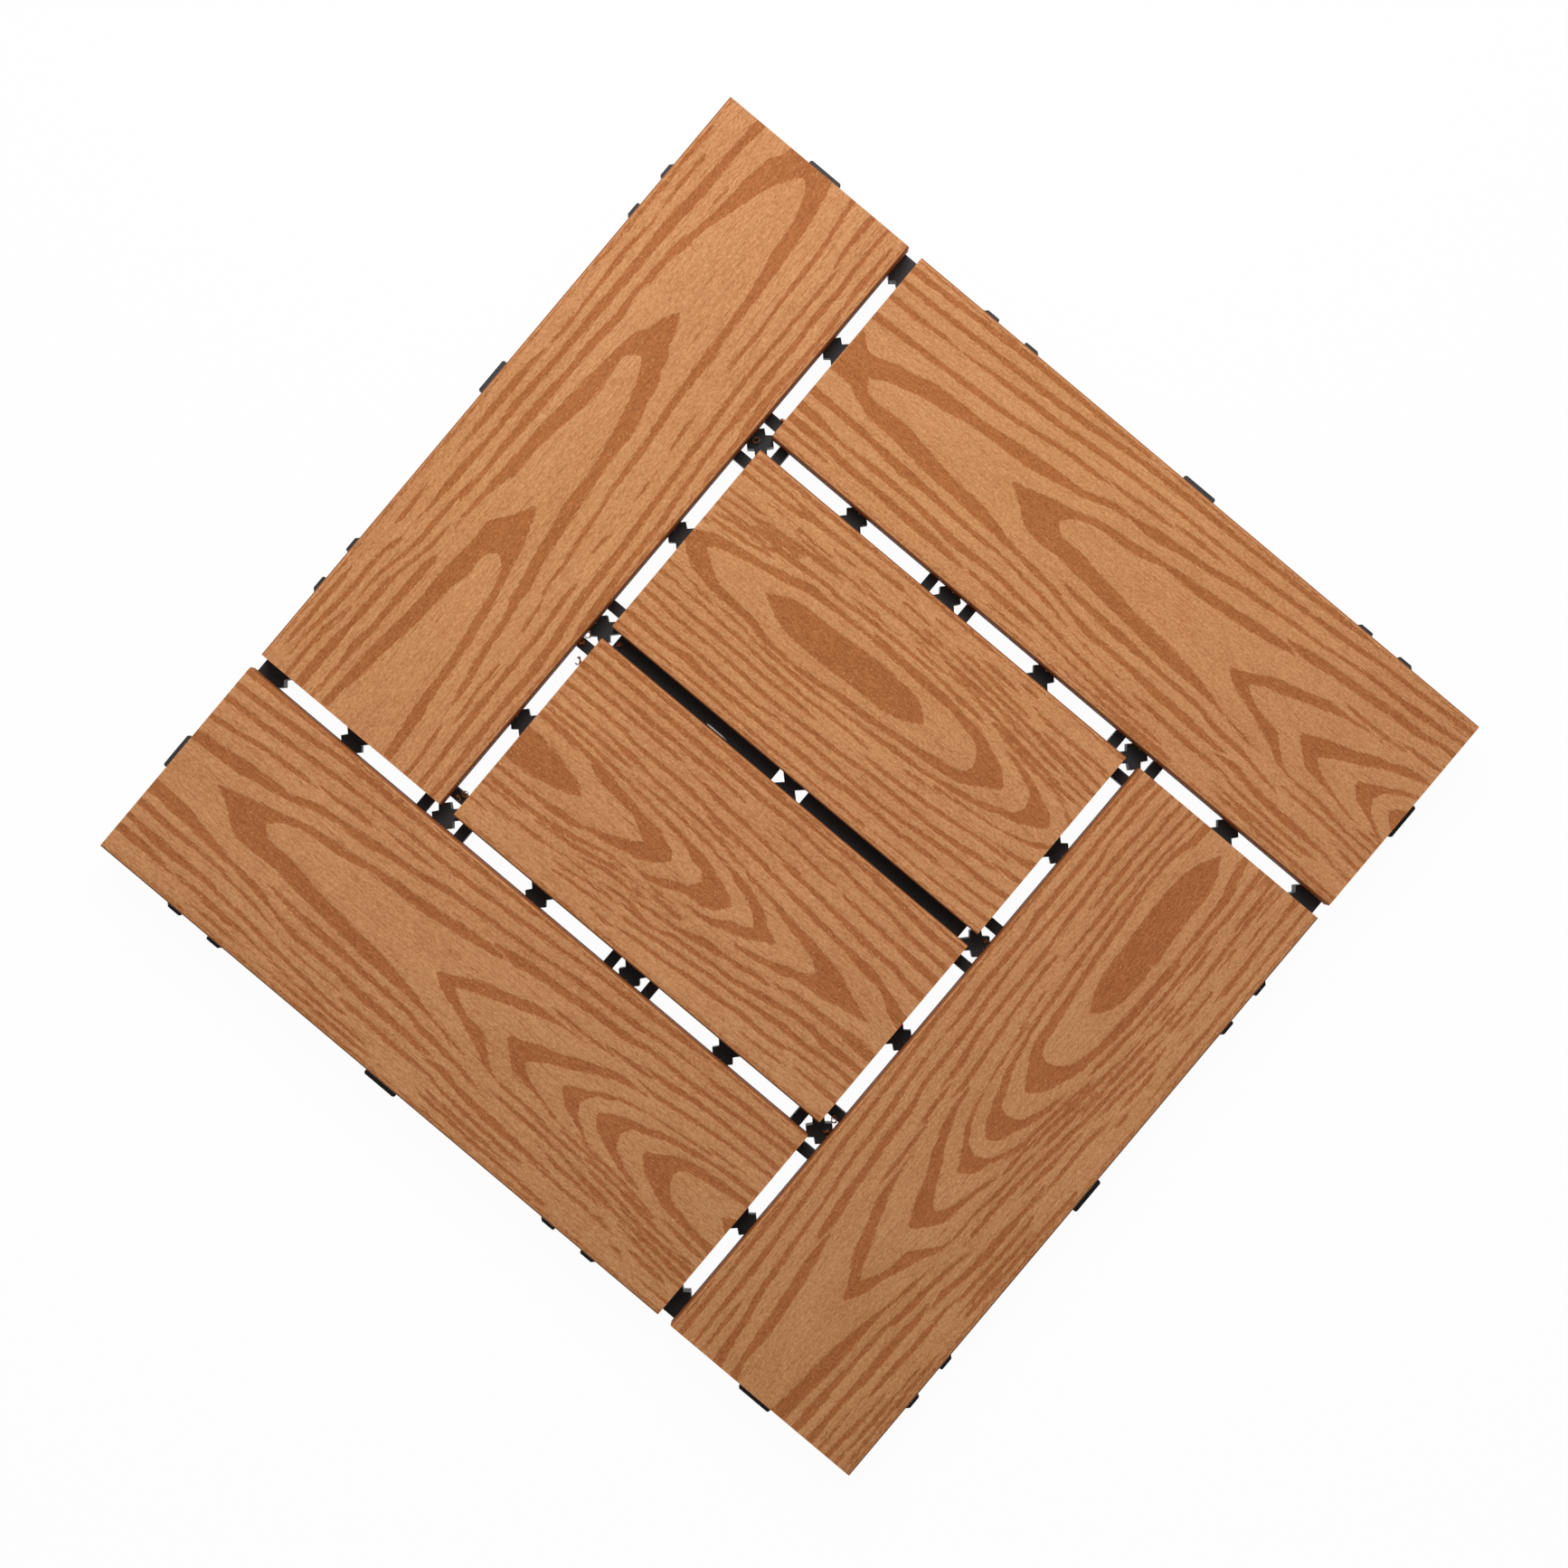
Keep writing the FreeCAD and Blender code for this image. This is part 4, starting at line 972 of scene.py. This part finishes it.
def add_curl(work, place, radius, turns, first, tilt, chance):
    """A thin shaving wound into an open coil that shrinks towards its end."""
    steps = int(CURL_STEPS * turns)
    axis = Vector((chance.uniform(-1, 1), chance.uniform(-1, 1), CURL_AXIS_UP))
    lean = Matrix.Rotation(math.radians(tilt), 3, axis)
    rings = []
    for k in range(steps + 1):
        share = k / steps
        angle = math.radians(first) + 2 * math.pi * turns * share
        reach = radius * (1 - CURL_SHRINK * share)
        ends = min(1.0, END_GROWTH * share + START_SHARE, END_GROWTH * (1 - share) + END_SHARE)
        width = CURL_WIDTH * ends * (WIDTH_BASE + WIDTH_SWAY * math.sin(WIDTH_WAVES * angle))
        wave = RADIUS_SWAY * math.sin(RADIUS_WAVES * angle + first)
        ring = []
        for across, up in corners(-CURL_HALF, CURL_HALF, -width, width):
            spread = reach + across + wave
            spot = Vector((spread * math.cos(angle), spread * math.sin(angle), CURL_RISE * share + up))
            ring.append(tuple(lean @ spot + Vector(place)))
        rings.append(ring)
    add_rings(work, rings)


def add_glint_strip(work):
    """A thin flat near-white strip along the middle strip, a painted highlight for a glint along the edge of
    the middle gap.
    """
    rings = []
    for share, width in GLINT_STRIP_WIDTHS:
        x = GLINT_STRIP_START + (GLINT_STRIP_END - GLINT_STRIP_START) * share
        section = corners(-width / 2, width / 2, 0, GLINT_STRIP_THICK)
        rings.append([(x, GLINT_STRIP_Y + y, GLINT_STRIP_BOTTOM + z) for y, z in section])
    add_rings(work, rings)


def build_swarf_and_glint():
    chance = random.Random(SWARF_SEED)
    work = bmesh.new()
    for curl in CURLS:
        add_curl(work, *curl, chance)
    curl_faces = len(work.faces)
    # the near-white strip is a painted highlight for a glint along the edge of the middle gap
    add_glint_strip(work)
    mesh = to_mesh("swarf_and_glint", work)
    mesh.materials.append(swarf_and_glint_material("wood_swarf", SWARF))
    mesh.materials.append(swarf_and_glint_material("painted_glint_strip", PAINTED_GLINT))
    for polygon in mesh.polygons:
        # curls get the swarf colour, the last strip the near-white painted highlight
        polygon.material_index = int(polygon.index >= curl_faces)
    swarf_and_glint = add_object("swarf_and_glint", mesh)
    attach(swarf_and_glint, "root")


# Camera, floor and light, m
PHOTO_PIXELS = 1734
PIXELS_PER_MM = 3.61
CAMERA_HEIGHT = 1.2
CAMERA_X = -0.0018
CAMERA_Y = -0.0006
CAMERA_TURN = math.radians(40.065)
SENSOR_WIDTH = 36.0
NEAR_CLIP = 0.05
FLOOR_SIZE = 8.0
FLOOR_HEIGHT = -0.0003
FLOOR_COLOUR = (0.93, 0.93, 0.93, 1)
FLOOR_GLOW = 0.97
SKY_COLOUR = (0.94, 0.97, 1, 1)
SKY_STRENGTH = 0.26
LAMP_PLACE = Vector((-0.3, 0.357, 0.67))
LAMP_SIZE = 0.45
LAMP_POWER = 4.94
LAMP_COLOUR = (1.0, 0.96, 0.93)


def build_stage():
    bpy.ops.mesh.primitive_plane_add(size=FLOOR_SIZE, location=(0, 0, FLOOR_HEIGHT))
    floor = bpy.context.object
    floor.name = "floor"
    n = Nodes("pale_floor", "MixShader")
    diffuse = n.node("BsdfDiffuse")
    diffuse.inputs["Color"].default_value = FLOOR_COLOUR
    glow = n.node("Emission")
    # the floor glows where it is seen straight, mirrored or through something
    path = n.node("LightPath")
    seen = n.math("ADD", path.outputs["Is Camera Ray"], path.outputs["Is Glossy Ray"])
    seen = n.math("ADD", seen, path.outputs["Is Transmission Ray"])
    seen.node.use_clamp = True
    n.link(n.math("MULTIPLY", seen, FLOOR_GLOW), n.shader.inputs[0])
    n.link(diffuse.outputs[0], n.shader.inputs[1])
    n.link(glow.outputs[0], n.shader.inputs[2])
    floor.data.materials.append(n.material)


def build_light():
    world = bpy.data.worlds.new("studio")
    scene.world = world
    world.use_nodes = True
    background = world.node_tree.nodes["Background"]
    background.inputs["Color"].default_value = SKY_COLOUR
    background.inputs["Strength"].default_value = SKY_STRENGTH
    # one large soft lamp beyond the top of the picture, so the light falls off towards its bottom
    light = bpy.data.lights.new("softbox", "AREA")
    light.size = LAMP_SIZE
    light.energy = LAMP_POWER
    light.color = LAMP_COLOUR
    lamp = add_object("softbox", light)
    lamp.location = LAMP_PLACE
    lamp.rotation_euler = (-LAMP_PLACE).to_track_quat("-Z", "Y").to_euler()


def build_camera():
    data = bpy.data.cameras.new("camera")
    field = PHOTO_PIXELS / PIXELS_PER_MM * MM
    data.sensor_width = SENSOR_WIDTH
    data.sensor_fit = "HORIZONTAL"
    data.lens = SENSOR_WIDTH * CAMERA_HEIGHT / field
    data.clip_start = NEAR_CLIP
    camera = add_object("camera", data)
    camera.location = (CAMERA_X, CAMERA_Y, BOARD_TOP * MM + CAMERA_HEIGHT)
    camera.rotation_euler = (0, 0, CAMERA_TURN)
    scene.camera = camera


build_camera()
build_stage()
build_light()
build_boards()
build_screws()
build_swarf_and_glint()
grid_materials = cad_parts["base_grid"].data.materials
grid_materials.clear()
grid_materials.append(plastic_material())

scene.view_settings.view_transform = "Standard"
